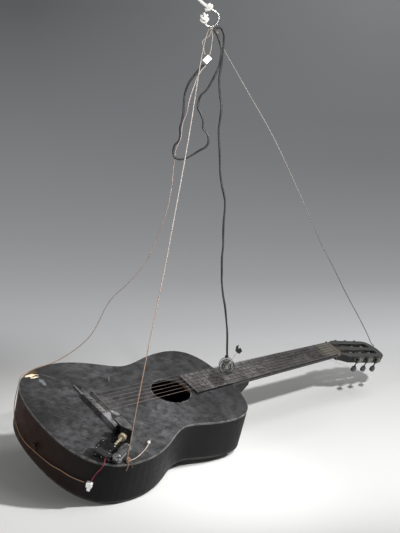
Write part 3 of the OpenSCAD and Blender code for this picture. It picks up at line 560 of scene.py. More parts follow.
# %% [markdown]
# The bridge has split along its ties and lost the tip of one wing, and the far corner of the body is
# bare. Each place gets its own group, from a few chosen slivers to a row of random ones.

# %% Splinters on the bridge and the bare corner
bridge_low = 123
tie_splinters = splinters("bridge_splinters", [
    (bridge_low + 9 + rng.uniform(-2, 4), rng.uniform(-60, 60), 5.0 if k % 2 else 4.6,
     rng.choice((86, 94, -88, -93)), rng.uniform(8, 22), rng.uniform(0.8, 1.9), rng.uniform(0.6, 1.8))
    for k in range(22)
])
tip_splinters = splinters("bridge_tip_splinters", [
    (bridge_low + rng.uniform(0, 20), 70 + rng.uniform(0, 8), 0, rng.uniform(78, 100), rng.uniform(8, 18),
     rng.uniform(1.2, 2.6), rng.uniform(1.5, 3)) for _ in range(7)
])
lifted = splinters("bridge_lifted_slivers", [
    (bridge_low + 24, -18, 4.2, -95, 16, 2.2, 2.4), (bridge_low + 27, -22, 0, -60, 17, 2.6, 3.8),
    (bridge_low + 26, -40, 4.0, -84, 20, 1.8, 1.6), (bridge_low + 6, -30, 5.0, -92, 24, 2.4, 2.0),
    (bridge_low + 9, 30, 8.6, 85, 15, 1.3, 1.4), (bridge_low + 3, 5, 8.6, 93, 19, 1.2, 1.1),
])
pale_patch = splinters("bare_corner_splinters", [
    (58 + rng.uniform(-3, 14), 138 + rng.uniform(-3, 11), 0.05, rng.uniform(-28, 30), rng.uniform(5, 13),
     rng.uniform(0.8, 2.2), rng.uniform(0.3, 1.1)) for _ in range(16)
])
scratch_slivers = splinters("scratch_slivers", [
    (66 + 1.0 * k + rng.uniform(-1.5, 1.5), 136 - 4.6 * k, 0.03, -92 + rng.uniform(-14, 14),
     rng.uniform(4, 9), rng.uniform(0.5, 1.1), 0.25) for k in range(9)
])
print(len(tie_splinters.data.polygons), "faces of splinters along the bridge")

# %% [markdown]
# The strings are tied at the bridge: each passes through the tie bar, loops back and is caught under
# itself. A short coil round the bar with a cut tail gives the row of dark lumps on the real bar.

# %% String ties at the bridge
string_gap, steps_a_turn = 11.6, 14
tie_nodes = bmesh.new()
for k in range(6):
    y = 5 + string_gap * (2.5 - k)
    points = []
    for t in range(30):
        a = 2 * math.pi * t / steps_a_turn
        points.append(on_guitar(bridge_low + 4.5 - 5.0 * math.cos(a), y - 2.2 + 0.16 * t,
                                5.2 + 4.6 * math.sin(a) + 0.3))
    sweep(tie_nodes, smooth_path(points, 0.0008), lobed(0.00042, 2, 0.1, 7), 0.01)
    end = [on_guitar(bridge_low + 3, y + 2.2, 9.9), on_guitar(bridge_low - 1, y + 3.5, 10.6),
           on_guitar(bridge_low - 4, y + rng.uniform(2, 6), 9 + rng.uniform(0, 3))]
    sweep(tie_nodes, smooth_path(end, 0.001), lobed(0.0004, 2, 0.1, 7), 0.01)
string_ties = new_piece("string_ties", tie_nodes)
print("string ties", string_gap, "mm apart")

# %% [markdown]
# The tuning keys are pressed blocks in the frame. Real ones are moulded plastic, thick in the middle
# and thin at the rim. A superellipse section that shrinks towards both faces gives that pillow.

# %% Moulded knobs on the keys
def swell(value, power):
    return math.copysign(abs(value) ** (2 / power), value)


def pillow(bm, centre, axes, half, outline=3.2, crown=2.6, rows=9, columns=28):
    """A rounded slab: half gives its half sizes along the three axes, the last one its thickness."""
    rings = []
    for r in range(1, rows):
        v = math.pi * r / rows - math.pi / 2
        wide = swell(math.cos(v), crown)
        rings.append([bm.verts.new(centre + axes @ Vector((
            swell(math.cos(u), outline) * wide * half[0], swell(math.sin(u), outline) * wide * half[1],
            swell(math.sin(v), crown) * half[2]))) for u in around(columns)])
    join_rings(bm, rings, ends=False)
    for ring, sign in ((rings[0], -1), (rings[-1], 1)):
        fan(bm, ring, centre + axes @ Vector((0, 0, sign * half[2])))


half_knob = (0.0072, 0.0066, 0.0036)
tip_to_middle = 0.006
knobs = []
for k in range(1, 7):
    joint = joints[f"key_{k}_turn"]
    hub = Vector(joint["pos_m"])
    along = -Vector(joint["axis"]).normalized()
    thin = Vector(joints[f"roller_{k}_turn"]["axis"]).normalized()
    axes = Matrix((along.cross(thin).normalized(), along, thin)).transposed()
    reach = max((v.co - hub).dot(along) for v in nodes[f"tuner_key_{k}"].data.vertices)
    bm = bmesh.new()
    pillow(bm, hub + along * (reach - tip_to_middle), axes, half_knob)
    knob = new_piece(f"knob_{k}", bm, body=f"key_{k}")
    knobs.append(knob)
print(len(knobs), "knobs, each", 2000 * half_knob[0], "mm wide")

# %% [markdown]
# The motor on the top is a small geared one. Screws, a seam, solder tags and leads make it read as a
# machine. Cutting slots into screw heads this small is wasted work: a low dome and a thin dark bar on
# it read the same, the bar being painted shade where the slot would be.

# %% Details on the geared motor
def in_unit(x, y, z):
    return motor_unit @ Vector((x, y, z))


def dome(bm, centre, normal, radius, height, rings=4, sides=18):
    side = normal.orthogonal().normalized()
    other = normal.cross(side)
    loops = []
    for r in range(rings):
        t = r / rings * math.pi / 2
        loops.append([bm.verts.new(centre + normal * (height * math.sin(t)) + radius * math.cos(t)
                                   * (math.cos(a) * side + math.sin(a) * other)) for a in around(sides)])
    join_rings(bm, loops, ends=False)
    fan(bm, loops[-1], centre + normal * height)
    bm.faces.new(list(reversed(loops[0])))


def bar(bm, low, high):
    """A thin straight bar between two opposite corners, in the motor's millimetres."""
    corners = [bm.verts.new(in_unit(x, y, z)) for x in (low[0], high[0]) for y in (low[1], high[1])
               for z in (low[2], high[2])]
    for face in ((0, 1, 3, 2), (4, 6, 7, 5), (0, 4, 5, 1), (2, 3, 7, 6), (0, 2, 6, 4), (1, 5, 7, 3)):
        bm.faces.new([corners[i] for i in face])


print("the motor's corner is at", [round(v, 3) for v in in_unit(0, 0, 0)])

# %% [markdown]
# Screws sit in the case's corners and through its feet. The can is crimped at both ends, which shows as
# two raised bands, and two tin tags at its back take the leads.

# %% Screws, tags, bands and a lead
unit_rotation = motor_unit.to_3x3().normalized()
unit_x, unit_z = unit_rotation.col[0], unit_rotation.col[2]
screws = bmesh.new()
for y, z in ((-4, 5), (-4, 21), (23, 5), (23, 21), (10, 5)):
    dome(screws, in_unit(-41, y, z), -unit_x, 0.0017, 0.0009)
for x, y in ((-37, -3), (-37, 22), (-19, -3), (-19, 22)):
    dome(screws, in_unit(x, y, 24), unit_z, 0.0016, 0.0008)
for x, y in ((8, 22), (40, 12), (-8, 28)):
    dome(screws, in_unit(x, y, 2), unit_z, 0.0028, 0.0013)
unit_screws = new_piece("unit_screws", screws)

# The thin dark bars on four screw heads are painted shade where their slots would be.
foot_screw_top, case_screw_top = 3.2, 24.7
slots = bmesh.new()
for x, y, top in ((8, 22, foot_screw_top), (40, 12, foot_screw_top), (-37, -3, case_screw_top),
                  (-19, 22, case_screw_top)):
    bar(slots, (x - 1.4, y - 0.25, top), (x + 1.4, y + 0.25, top + 0.15))
screw_slot_painted_shade = new_piece("screw_slot_painted_shade", slots, smooth=False)

tags = bmesh.new()
for y in (-22, -14):
    bar(tags, (-40, y - 1.2, 13), (-35.5, y + 1.2, 13.5))
solder_tags = new_piece("solder_tags", tags, smooth=False)

band_radius, band_y, band_z = 10.25, -17.6, 12.02
bands = bmesh.new()
for start, stop in ((-34.2, -32.4), (4.0, 6.1)):
    rings = [[bands.verts.new(in_unit(x, band_y + r * math.cos(a), band_z + r * math.sin(a)))
              for a in around(48)]
             for x, r in ((start, band_radius - 0.4), (start + 0.3, band_radius),
                          (stop - 0.3, band_radius), (stop, band_radius - 0.4))]
    join_rings(bands, rings + rings[:1], ends=False)
can_bands = new_piece("can_bands", bands)
tail("motor_black_lead", [in_unit(-38, -22, 13), in_unit(-42, -23, 14), in_unit(-45, -16, 12),
                          in_unit(-45, -4, 8), in_unit(-42.5, 3, 6)], 1.3, black_flex)
print("motor detail:", len(unit_screws.data.polygons), "faces of screws")

# %% [markdown]
# The hanging motor sits in a clear round case. Its coil is wound wire, so rings of wire lie on the
# coil's face, round a pale disc. The pale rings carry painted glints, and the dark rings between them and
# the dark rims at the case's faces are painted shade. The striker is a thin pale rod with a black rubber tip.

# %% Details of the clear motor
capsule_axes = Matrix((beside, facing.cross(beside), facing)).transposed()


def in_capsule(x, y, z):
    """x to the side, y downwards, z out of the face, in millimetres from the middle."""
    return capsule_at + capsule_axes @ (Vector((x, y, z)) * MM)


def coil_rings(name, radii):
    """Closed rings of wire that waver a little off the coil's face."""
    bm = bmesh.new()
    for radius in radii:
        loop = [in_capsule(radius * math.cos(a), radius * math.sin(a), 2.4 + 0.25 * math.sin(5 * a + radius))
                for a in around(48) + [2 * math.pi]]
        sweep(bm, loop, lobed(0.0005, 2, 0.1, 6), 0.02)
    return new_piece(name, bm)


# Pale windings carry painted glints; the dark rings laid between them are painted shade.
coil_windings = coil_rings("coil_windings", (3.0, 6.4, 9.8))
coil_gap_painted_shade = coil_rings("coil_gap_painted_shade", (4.6, 5.4, 8.0, 8.8, 11.0))
inner = bmesh.new()
for turn in range(3):
    begins = 0.6 + 2.1 * turn
    loop = []
    for a in np.linspace(0, 1.7, 24):
        radius = 11.6 + 0.7 * math.sin(3 * a)
        loop.append(in_capsule(radius * math.cos(begins + a), radius * math.sin(begins + a), -2 + 1.5 * turn))
    sweep(inner, smooth_path(loop, 0.001), lobed(0.0006, 2, 0.1, 6), 0.02)
capsule_wires = new_piece("capsule_wires", inner)

# Dark rims at both faces draw the clear case's dark outline as painted shade.
rim_radius, rim_half_thickness, untwisted_mm = 15.1, 0.00085, 1000
rims = bmesh.new()
for z in (-7.4, 8.1):
    loop = [in_capsule(rim_radius * math.cos(a), rim_radius * math.sin(a), z)
            for a in around(64) + [2 * math.pi]]
    sweep(rims, loop, [rim_half_thickness] * 6, untwisted_mm * MM)
capsule_painted_dark_outline = new_piece("capsule_painted_dark_outline", rims)

# A small dark lump sits at the lower edge of the case.
lump_half_thickness = 0.0022
lump_line = [in_capsule(x, y, 2) for x, y in ((-5, 15.4), (-2.5, 16.6), (1.5, 16.8), (4.6, 15.6))]
capsule_dark_lump = swept_piece("capsule_dark_lump", lump_line, [lump_half_thickness] * 10, untwisted_mm)
print("capsule detail placed at", [round(v, 3) for v in capsule_at])

# %% [markdown]
# ## Finishes
# The body was brushed black, and it has been handled for years since. So its black is not one colour:
# grey rubs lie over it, finer streaks follow the grain, and dust gathers in the low parts. All the
# wood shares one recipe, measured in guitar coordinates so that the grain runs along the guitar.

# %% Painted wood
def guitar_place(tree):
    where = add(tree, "TexCoord", out="Object")
    return add(tree, "Mapping", {"Vector": where, "Location": butt, "Rotation": (tilt, 0, 0)},
               vector_type="TEXTURE")


def stretched(tree, where, x, y, z):
    return add(tree, "VectorMath", {0: where, 1: (x, y, z)}, operation="MULTIPLY")


def near_place(tree, where, x, y, z, inner_mm, outer_mm, flat=(1, 1, 1)):
    """A soft round mask about one place on the guitar, given in guitar millimetres."""
    away = add(tree, "VectorMath", {0: where, 1: (-x * MM, -y * MM, -z * MM)}, operation="ADD")
    distance = add(tree, "VectorMath", {0: stretched(tree, away, *flat)}, out="Value", operation="LENGTH")
    return add(tree, "MapRange", {"Value": distance, "From Min": inner_mm * MM, "From Max": outer_mm * MM,
                                  "To Min": 1.0, "To Max": 0.0})


print("patterns on wood start from the butt at", [round(v, 3) for v in butt])

# %% [markdown]
# Paint brushed on by hand wears in layers. Broad rubs break up into brush marks, dust settles in the
# grain, and light scuffs run slantwise. Edges lose their coat first, so a bevel node finds them. Stains,
# darker areas and bare patches lie at chosen places, with ragged outlines from the same pattern as the
# brush marks.

# %% The recipe for painted wood
rubs_mm, brush_mm, grain_mm, dust_mm, scuff_mm = 95, 16, 2.4, 0.9, 5
scuff_turn, scuff_run = 0.9, (0.08, 1, 1)


def bare_edges(tree, middle):
    """A mask that is white where an edge is sharp and the brushed coat has gaps."""
    soft = add(tree, "Bevel", {"Radius": 0.0022}, samples=4)
    flat = add(tree, "NewGeometry", out="Normal")
    same = add(tree, "VectorMath", {0: soft, 1: flat}, out="Value", operation="DOT_PRODUCT")
    sharp = add(tree, "MapRange", {"Value": same, "From Min": 0.985, "From Max": 0.86})
    gaps = add(tree, "MapRange", {"Value": middle, "From Min": 0.38, "From Max": 0.50})
    return add(tree, "Math", {0: sharp, 1: gaps}, operation="MULTIPLY")


def painted_wood(name, black, grey, dusty, rough, wear=0.5, patches=(), edge=None, tints=(), shine=0.3,
                 grain_run=(0.06, 1, 1), sides=None):
    """Brushed black with rubs; edge is the shade of bare edges, and sides is a painted shade for faces turned
    away from straight up.
    """
    material, tree, shader = begin(name, {"Specular IOR Level": shine})
    where = guitar_place(tree)
    turned = add(tree, "VectorRotate", {"Vector": where, "Angle": scuff_turn}, rotation_type="Z_AXIS")
    broad, middle, grain, dust, scuffs = (
        add(tree, "TexNoise", {"Vector": place, "Scale": per_metre(size_mm), "Detail": detail,
                               "Roughness": roughness, "Distortion": distortion})
        for place, size_mm, detail, roughness, distortion in (
            (where, rubs_mm, 4.0, 0.6, 0.4), (where, brush_mm, 7.0, 0.72, 0.0),
            (stretched(tree, where, *grain_run), grain_mm, 5.0, 0.5, 0.0), (where, dust_mm, 3.0, 0.5, 0.0),
            (stretched(tree, turned, *scuff_run), scuff_mm, 5.0, 0.5, 0.0)))
    broad_rubs = add(tree, "MapRange", {"Value": broad, "From Min": 0.42, "From Max": 0.66, "To Max": wear})
    brushed = add(tree, "MapRange", {"Value": middle, "From Min": 0.36, "From Max": 0.6})
    blotches = add(tree, "Math", {0: broad_rubs, 1: brushed}, operation="MULTIPLY")
    shade = lay_over(tree, black, grey, middle, 0.38, 0.68)
    for pattern, start, stop, cover in (
            (blotches, 0, 1, 1), (grain, 0.56, 0.74, 0.35 * wear + 0.1), (dust, 0.64, 0.72, 0.35),
            (scuffs, 0.60, 0.70, 0.7 * wear)):
        shade = lay_over(tree, shade, dusty, pattern, start, stop, cover)
    for place, colour, strength in tints:
        shade = lay_over(tree, shade, colour, near_place(tree, where, *place), 0, 1, strength)
    for place, colour, amount in patches:
        ragged = add(tree, "Math", {0: middle, 1: 1.1, 2: near_place(tree, where, *place)},
                     operation="MULTIPLY_ADD")
        shade = lay_over(tree, shade, colour, ragged, amount, amount + 0.05)
    # Painted shade: faces turned sideways or down take the darker sides colour.
    if sides:
        up = add(tree, "SeparateXYZ", {0: add(tree, "NewGeometry", out="Normal")}, out="Z")
        shade = lay_over(tree, shade, sides, up, 0.8, 0.55)
    if edge:
        shade = lay_over(tree, shade, edge, bare_edges(tree, middle), 0, 1)
    spread = add(tree, "MapRange", {"Value": middle, "From Min": 0.3, "From Max": 0.7,
                                    "To Min": rough - 0.1, "To Max": rough + 0.12})
    tree.links.new(spread, shader.inputs["Roughness"])
    strokes = add(tree, "Math", {0: middle, 1: 0.5}, operation="MULTIPLY")
    height = add(tree, "Math", {0: grain, 1: 0.6, 2: strokes}, operation="MULTIPLY_ADD")
    give_skin(tree, shader, shade, height, 0.5, 0.35)
    return material


print("rubs repeat about every", rubs_mm, "mm, brush marks every", brush_mm, "mm, grain every", grain_mm, "mm")

# %% [markdown]
# The body is spruce in front and maple round the sides, the neck mahogany, and the bridge rosewood. All
# share the recipe, with their own shades, wear and places. Where paint and wood are torn, the break is
# pale and rough.

# %% The woods
# Each place is x, y, z, the mask's inner and outer radius and its stretch, then a shade and an amount.
corner_patch = ((65, 152, 0, 6, 22, (0.7, 1.1, 1)), "#5b4426", 1.24)
corner_pale = ((62, 147, 0, 3, 14, (0.55, 1.5, 1)), "#f1dfc2", 1.28)
scrape = ((75, 117, 0, 0, 30, (2.0, 0.75, 1)), "#6c6f74", 1.22)
brown_butt = ((45, 150, -25, 10, 120, (1, 0.8, 1)), "#5a3726", 0.55)
brown_middle = ((0, 20, -45, 10, 130, (1, 0.7, 1)), "#40271c", 0.5)
# Two of these only make the top darker, by the butt and over the upper bout.
dark_by_butt = ((2, 30, 0, 20, 70, (1.7, 0.5, 1)), "#19191a", 0.55)
dusty_head = ((885, 0, -15, 85, 100, (1, 1, 1)), "#484a4b", 0.7)
khaki_board = ((770, -2, 4, 6, 36, (1, 1, 1)), "#6b6a5a", 0.6)
dark_upper = ((400, 20, 0, 60, 230, (1, 0.7, 1)), "#141415", 0.55)

# Black paint brushed on softwood and never polished: grey rubs, bare rims, torn corners.
black_spruce = painted_wood(
    "brushed_black_spruce", "#242425", "#3c3c3d", "#6a6a6c", 0.5, wear=0.55,
    patches=(scrape, corner_patch, corner_pale), edge="#8a8784", tints=(dark_upper, dark_by_butt))
# The same paint on close-grained wood is smoother and lets some brown through; its black, far darker than the
# top's, is painted shade.
rib_black_with_painted_shade = painted_wood(
    "black_maple_paint_and_painted_shade", "#09090a", "#101011", "#1b1b1c", 0.55, wear=0.2, shine=0.15, grain_run=(1, 1, 0.3),
    patches=(corner_patch,), edge="#5d5856", tints=(brown_butt, brown_middle))
# The sides colour darkens the neck's sides and the head's slot walls as painted shade.
black_neck = painted_wood("brushed_black_mahogany", "#131314", "#1f1f20", "#454444", 0.5, wear=0.3,
                          edge="#77746c", tints=(dusty_head,), sides="#111213")
# Stained hardwood under fingers goes grey between the frets and stays black along its sides, drawn darker
# still as painted shade.
board_wood = painted_wood("worn_stained_fingerboard", "#29292a", "#474546", "#7c7a7b", 0.55, wear=0.6,
                          edge="#6f6866", tints=(khaki_board,), sides="#0d0d0e")
bridge_wood = painted_wood("split_black_rosewood", "#303031", "#515153", "#9a9a9c", 0.4, wear=0.7,
                           edge="#77736f")
wing_wood = painted_wood("grey_worn_rosewood", "#2c2c2d", "#434344", "#6a6a6b", 0.45, wear=0.4, edge="#8a8889")
# Unpainted wood inside the body, dull with age.
spruce = painted_wood("bare_spruce", "#6d5238", "#80613f", "#93714b", 0.7, wear=0.3)
cedar = painted_wood("bare_cedar", "#5d3f2a", "#6c4a31", "#7d5839", 0.7, wear=0.3)
# Fresh breaks scatter light, so they are the palest and roughest wood.
torn_dark = painted_wood("torn_dark_wood", "#3a3a3d", "#5a595c", "#93908c", 0.6, wear=0.6)
torn_pale = painted_wood("torn_bare_spruce", "#ecd9b8", "#fbf3e4", "#c79468", 0.75, wear=0.3)
torn_grey = painted_wood("torn_grey_paint", "#6c6c70", "#8a8a8c", "#a5a5a6", 0.7, wear=0.5)
print(len(bpy.data.materials), "materials, woods among them")

# %% [markdown]
# Metals and plastics follow the same plan: one colour, one duller colour in patches, and a roughness
# that changes with them. That keeps any of them from looking new.

# %% Recipes for metals, plastics and string
def aged(name, bright, dull, rough, spot_mm, metallic=0.0, coat=0.0):
    """One colour with a duller one in patches, rougher where it is duller."""
    material, tree, shader = begin(name, {"Metallic": metallic, "Coat Weight": coat})
    where = add(tree, "TexCoord", out="Object")
    spots = add(tree, "TexNoise", {"Vector": where, "Scale": per_metre(spot_mm), "Detail": 6.0,
                                   "Roughness": 0.65})
    spread = add(tree, "MapRange", {"Value": spots, "From Min": 0.35, "From Max": 0.65,
                                    "To Min": max(0.05, rough - 0.08), "To Max": rough + 0.15})
    tree.links.new(spread, shader.inputs["Roughness"])
    give_skin(tree, shader, lay_over(tree, bright, dull, spots, 0.45, 0.65), spots, 0.15, 0.3)
    return material


winding_mm = 1.2


def wound_string(name):
    """Turns of wire round a core, drawn coarser than the real 0.3 mm so that they show."""
    material, tree, shader = begin(name, {"Metallic": 0.6, "Roughness": 0.5})
    where = guitar_place(tree)
    turns = add(tree, "TexWave", {"Vector": where, "Scale": per_metre(winding_mm)}, out="Fac",
                bands_direction="X")
    give_skin(tree, shader, lay_over(tree, "#4b413c", "#8a7c74", turns, 0, 1), turns, 0.2, 1.0)
    return material


wound = wound_string("silver_wound_string")
print("the winding is drawn", winding_mm, "mm wide")

# %% [markdown]
# What follows is the list of stuffs. Metals are fully metallic unless paint or dirt hides part of them,
# and the number after the roughness is the size of the spots in millimetres. Each could have a recipe
# of its own, but at this size they differ only in shade, gloss and spots.

# %% The metals, plastics and bone
# Nickel silver and nickel plate tarnish brown and grey, and shine only where something rubs them.
fret_metal = aged("tarnished_nickel_silver", "#8e8880", "#4a4643", 0.4, 4, metallic=0.9)
tuner_steel = aged("dulled_nickel_plate", "#6e6d6a", "#2d2c2b", 0.38, 5, metallic=0.85)
# Bone and plastic that were once white hold grime in their pores.
bone = aged("grimy_bone", "#6f675a", "#3c3833", 0.5, 3)
saddle_plastic = aged("yellowed_plastic_saddle", "#57534d", "#2f2d2b", 0.5, 3)
nylon = aged("clouded_nylon_string", "#4a4340", "#35302e", 0.45, 20)
# Zinc stays bright and a little blue-white, with dull crystals.
screw_steel = aged("zinc_plated_screw", "#a5a39c", "#5a5650", 0.35, 2, metallic=1.0)
bright_steel = aged("bright_zinc_steel", "#c9c7c0", "#8b8880", 0.25, 3, metallic=1.0)
hook_steel = aged("bright_steel_wire", "#c4c4c2", "#85837f", 0.25, 4, metallic=1.0)
# Moulded plastics: grey and matt on the rollers, black and glossy on the keys and the gear case.
roller_plastic = aged("grey_plastic_roller", "#6b6965", "#403e3b", 0.5, 4)
knob_plastic = aged("dark_pearloid_plastic", "#25282b", "#0e0e10", 0.25, 3, coat=0.2)
motor_black = aged("black_abs_plastic", "#080808", "#161617", 0.22, 5, coat=0.5)
cream_plastic = aged("yellowed_acetal_wheel", "#a2967f", "#4a4338", 0.3, 2)
white_nylon = aged("white_nylon_housing", "#ffffff", "#e4e5e2", 0.4, 3)
# A rolled steel can, half mirror and half dark in patches.
motor_steel = aged("patchy_dark_steel_motor_can", "#a3a3a6", "#2c2c2d", 0.2, 6, metallic=0.9)
# Seen through the case, the enamelled coil is a set of pale rings on a grey face with a dark edge; the
# rings are coil wire drawn near white as painted glint, and the dark edge and dark rings are painted shade.
pale_coil_with_painted_glint = aged("coil_wire_painted_glint", "#f0eeea", "#c3beb6", 0.3, 2)
pale_disc = aged("grey_coil_face", "#8f8e8c", "#4a4a4a", 0.35, 2)
rim_and_gap_painted_shade = aged("case_edge_and_gap_painted_shade", "#0f0f10", "#2c2c2d", 0.3, 4)
print(len(bpy.data.materials), "materials with the metals, plastics and strings")

# %% [markdown]
# Clear plastic needs light to pass, so its shader is transmission. Polystyrene's own index is 1.59, but
# the wall here is thin and would bend light far too much at that value, so it is lowered. A little
# roughness stands for the scuffs. The striker is one part of two stuffs, told apart by their distance
# from its hub.

# %% Clear plastic and the striker's two parts
thin_wall_index = 1.30
clear_case, tree, shader = begin("scuffed_clear_polystyrene", {
    "Base Color": "#e9ebec", "Roughness": 0.03, "IOR": thin_wall_index, "Transmission Weight": 1.0})

rod_ends, tip_starts = 0.0355, 0.0365
striker_paint, tree, shader = begin("steel_rod_with_rubber_tip", {"Roughness": 0.4})
where = add(tree, "TexCoord", out="Object")
from_hub = add(tree, "VectorMath", {0: where, 1: capsule_at}, out="Value", operation="DISTANCE")
steel_or_rubber = lay_over(tree, "#b7b3aa", "#0f0f10", from_hub, rod_ends, tip_starts)
tree.links.new(steel_or_rubber, shader.inputs["Base Color"])
bare_steel = add(tree, "MapRange", {"Value": from_hub, "From Min": tip_starts, "From Max": rod_ends})
tree.links.new(bare_steel, shader.inputs["Metallic"])
print("the striker turns from steel to rubber", 1000 * tip_starts, "mm from its hub")

# %% [markdown]
# A part's name says what it is, so the start of the name picks its material. It could be set part by
# part, but a table is easier to check. The pieces made above are painted one by one.

# %% Give every part its finish
finishes = (
    (black_spruce, "soundboard"), (rib_black_with_painted_shade, "ribs back strap_pin"), (spruce, "back_braces top_braces"),
    (cedar, "back_lining top_lining tail_block neck_block"), (black_neck, "neck"),
    (board_wood, "fingerboard"), (fret_metal, "frets"), (bone, "nut"), (bridge_wood, "bridge"),
    (wing_wood, "bridge_wing"), (saddle_plastic, "saddle"), (nylon, "string_1 string_2 string_3"),
    (wound, "string"), (tuner_steel, "tuner_plate"), (screw_steel, "tuner_screws screw_eye"),
    (roller_plastic, "roller"), (knob_plastic, "tuner_key"), (motor_black, "motor_bracket gear_case"),
    (motor_steel, "motor_can"), (cream_plastic, "drive_wheel"), (clear_case, "capsule_shell"),
    (pale_disc, "capsule_motor"), (striker_paint, "striker"), (hook_steel, "ceiling_hook ring"),
    (white_nylon, "upper_terminal lower_terminal"),
)
finish_of = {start: material for material, starts in finishes for start in starts.split()}


def paint(piece, material):
    piece.data.materials.clear()
    piece.data.materials.append(material)


for name, node in nodes.items():
    fitting = [start for start in finish_of if name.startswith(start)]
    if fitting:
        paint(node, finish_of[max(fitting, key=len)])
    elif not node.hide_render:
        print("no finish for", name)
for piece, material, slot in (
        (tie_splinters, torn_dark, "black_bridge"), (tip_splinters, torn_dark, "black_bridge"),
        (lifted, torn_dark, "black_bridge"), (pale_patch, torn_pale, "bare_spruce"),
        (scratch_slivers, torn_grey, "black_top"), (string_ties, nylon, "string_nylon"),
        (unit_screws, bright_steel, "steel_screw"), (screw_slot_painted_shade, motor_black, "motor_black"),
        (solder_tags, bright_steel, "steel_screw"), (can_bands, bright_steel, "motor_steel"),
        (coil_windings, pale_coil_with_painted_glint, "coil_metal"), (coil_gap_painted_shade, rim_and_gap_painted_shade, "coil_metal"),
        (capsule_dark_lump, motor_black, "motor_black"), (capsule_wires, pale_coil_with_painted_glint, "coil_metal"),
        (capsule_painted_dark_outline, rim_and_gap_painted_shade, "capsule_clear")):
    paint(piece, material)
for knob in knobs:
    paint(knob, knob_plastic)
print("every part painted;", len(bpy.data.materials), "materials")

# %% [markdown]
# ## Stage and light
# A sheet of pale paper lies on the floor and curves up behind. Its shade behind the guitar is painted
# for camera rays alone, from near white at the floor to grey above, so the light in the room stays
# even. Near the guitar the paper is plain and takes the real shadows. Seen from behind it is clear.

# %% Paper sweep
floor_z = cad_low.z - 0.002
stand = Vector((camera_stand.x, camera_stand.y, floor_z))
away = Vector((ahead.x, ahead.y, 0)).normalized()
right = Vector((to_right.x, to_right.y, 0)).normalized()
curve_start, curve_radius, half_width, top_height = 3.1, 0.9, 5, 4.0
profile = [(-3.0, 0.0), (0.0, 0.0), (1.5, 0.0), (2.5, 0.0)]
profile += [(curve_start + curve_radius * math.sin(a), curve_radius * (1 - math.cos(a)))
            for a in (math.pi / 2 * k / 24 for k in range(25))]
profile += [(curve_start + curve_radius, top_height)]
bm = bmesh.new()
rows = [[bm.verts.new(stand + away * d + right * side + overhead * h) for side in (-half_width, half_width)]
        for d, h in profile]
for a, b in zip(rows, rows[1:]):
    bm.faces.new((a[0], a[1], b[1], b[0]))
mesh = bpy.data.meshes.new("paper_sweep")
bm.to_mesh(mesh)
bm.free()
mesh.polygons.foreach_set("use_smooth", [True] * len(mesh.polygons))
paper_sweep = bpy.data.objects.new("paper_sweep", mesh)
bpy.context.scene.collection.objects.link(paper_sweep)
print("paper at", round(floor_z, 3), "m, curving up", curve_start, "m from the camera")

# %% [markdown]
# Paper is matt. Each side of the sweep gets its own row of shades, from the floor up, as distances in
# metres along the paper. A ramp blends along each row, and a second blend goes from left to right.

# %% Paper's shades
paper, tree, shader = begin("seamless_background_paper", {
    "Base Color": "#dededd", "Roughness": 0.8, "Specular IOR Level": 0.2})
where = add(tree, "TexCoord", out="Object")
from_stand = add(tree, "VectorMath", {0: where, 1: -stand}, operation="ADD")
depth = add(tree, "VectorMath", {0: from_stand, 1: away}, out="Value", operation="DOT_PRODUCT")
across = add(tree, "VectorMath", {0: from_stand, 1: right}, out="Value", operation="DOT_PRODUCT")
height = add(tree, "SeparateXYZ", {0: from_stand}, out="Z")
along = add(tree, "Math", {0: depth, 1: height}, operation="ADD")
row_start, row_stop = 2.6, 5.1
placed = add(tree, "MapRange", {"Value": along, "From Min": row_start, "From Max": row_stop})
metres = (3.07, 3.35, 3.57, 3.83, 4.08, 4.30, 4.50, 4.68, 4.84, 4.96)
positions = [(m - row_start) / (row_stop - row_start) for m in metres]
left_codes = ("#acadaf", "#a6a7a9", "#9a9b9d", "#8d8e90", "#838486", "#7c7d7f", "#747577", "#6c6d6f",
              "#636466", "#5a5b5d")
right_codes = ("#c8c9cb", "#b2b3b5", "#9a9b9d", "#8b8c8e", "#808183", "#767779", "#737476", "#757678",
               "#78797b", "#7c7d7f")
left_shades, right_shades = (add(tree, "ValToRGB", {"Fac": placed}, stops=list(zip(positions, codes)))
                             for codes in (left_codes, right_codes))
shade = lay_over(tree, left_shades, right_shades, across, -0.60, 0.60)
glow = add(tree, "Emission", {"Color": shade, "Strength": 1.0})
behind = add(tree, "MapRange", {"Value": depth, "From Min": 2.75, "From Max": 3.2})
seen = add(tree, "LightPath", out="Is Camera Ray")
share = add(tree, "Math", {0: seen, 1: behind}, operation="MULTIPLY")
front = add(tree, "MixShader", {0: share, 1: shader.outputs[0], 2: glow})
back_side = add(tree, "NewGeometry", out="Backfacing")
both = add(tree, "MixShader", {0: back_side, 1: front, 2: add(tree, "BsdfTransparent")})
tree.links.new(both, tree.get_output_node("ALL").inputs["Surface"])
mesh.materials.append(paper)
print("paper shaded over", len(metres), "steps")

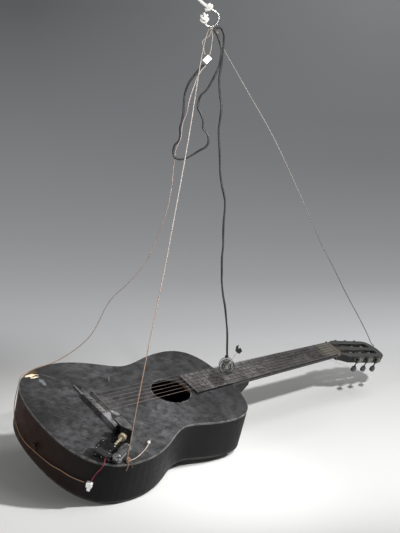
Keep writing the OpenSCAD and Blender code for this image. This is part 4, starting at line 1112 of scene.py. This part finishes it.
# %% [markdown]
# Two gridded lamps make the dark shadows. One stands to the left of the camera and catches the head, so
# the head's shadow falls behind the neck. The other stands to the right and throws the body's shadow to
# the left. A grid keeps each lamp to its own part of the floor, which is why neither shadow is filled.
# A small third one lights the ring and its knots. A weak panel from the left and a large soft one
# overhead do the rest.

# %% Lamps and panels
def aim(name, data, at, target):
    at, target = Vector(at), Vector(target)
    lamp = bpy.data.objects.new(name, data)
    lamp.matrix_world = Matrix.Translation(at) @ (at - target).to_track_quat("Z", "Y").to_matrix().to_4x4()
    lamp.visible_camera = False
    bpy.context.scene.collection.objects.link(lamp)
    print(name, data.energy, "W, at", [round(v, 2) for v in at])


def gridded(name, target, azimuth, elevation, distance, cone, size, watts):
    """A lamp of a given size in metres, shut in to a cone, in a direction from its target."""
    a, e = math.radians(azimuth), math.radians(elevation)
    towards = Vector((math.cos(a) * math.cos(e), math.sin(a) * math.cos(e), math.sin(e)))
    data = bpy.data.lights.new(name, "SPOT")
    data.energy, data.spot_size, data.spot_blend = watts, math.radians(cone), 1.0
    data.shadow_soft_size = size / 2
    aim(name, data, Vector(target) + towards * distance, target)


def panel(name, at, target, size, watts):
    data = bpy.data.lights.new(name, "AREA")
    data.shape, data.size, data.energy = "SQUARE", size, watts
    aim(name, data, at, target)


print("lamps are hidden from the camera")

# %% [markdown]
# The numbers after each target are the direction in degrees, the distance in metres, the cone in
# degrees, the lamp's size in metres and its power in watts.

# %% Place the lamps
gridded("front_left_lamp", (0.62, 0.22, -0.95), -123, 32, 2.6, 43, 0.10, 290)
gridded("right_lamp", (-0.62, 0.32, -0.95), -48, 31, 2.6, 38, 0.14, 235)
gridded("upper_lamp", (0.03, -0.03, -0.16), -125, 8, 1.8, 22, 0.2, 55)
panel("left_panel", (-2.8, -0.5, 0.2), (0, 0, -0.9), 0.35, 17)
panel("overhead_panel", (0.7, -1.0, 1.1), (0.2, -0.3, -0.99), 1.3, 13)
world = bpy.data.worlds.new("soft_room")
bpy.context.scene.world = world
world.use_nodes = True
room = world.node_tree.nodes["Background"].inputs
room["Color"].default_value = linear("#bababa")
room["Strength"].default_value = 0.17
bpy.context.scene.view_settings.view_transform = "Standard"
print("the room adds", room["Strength"].default_value, "of its own light")
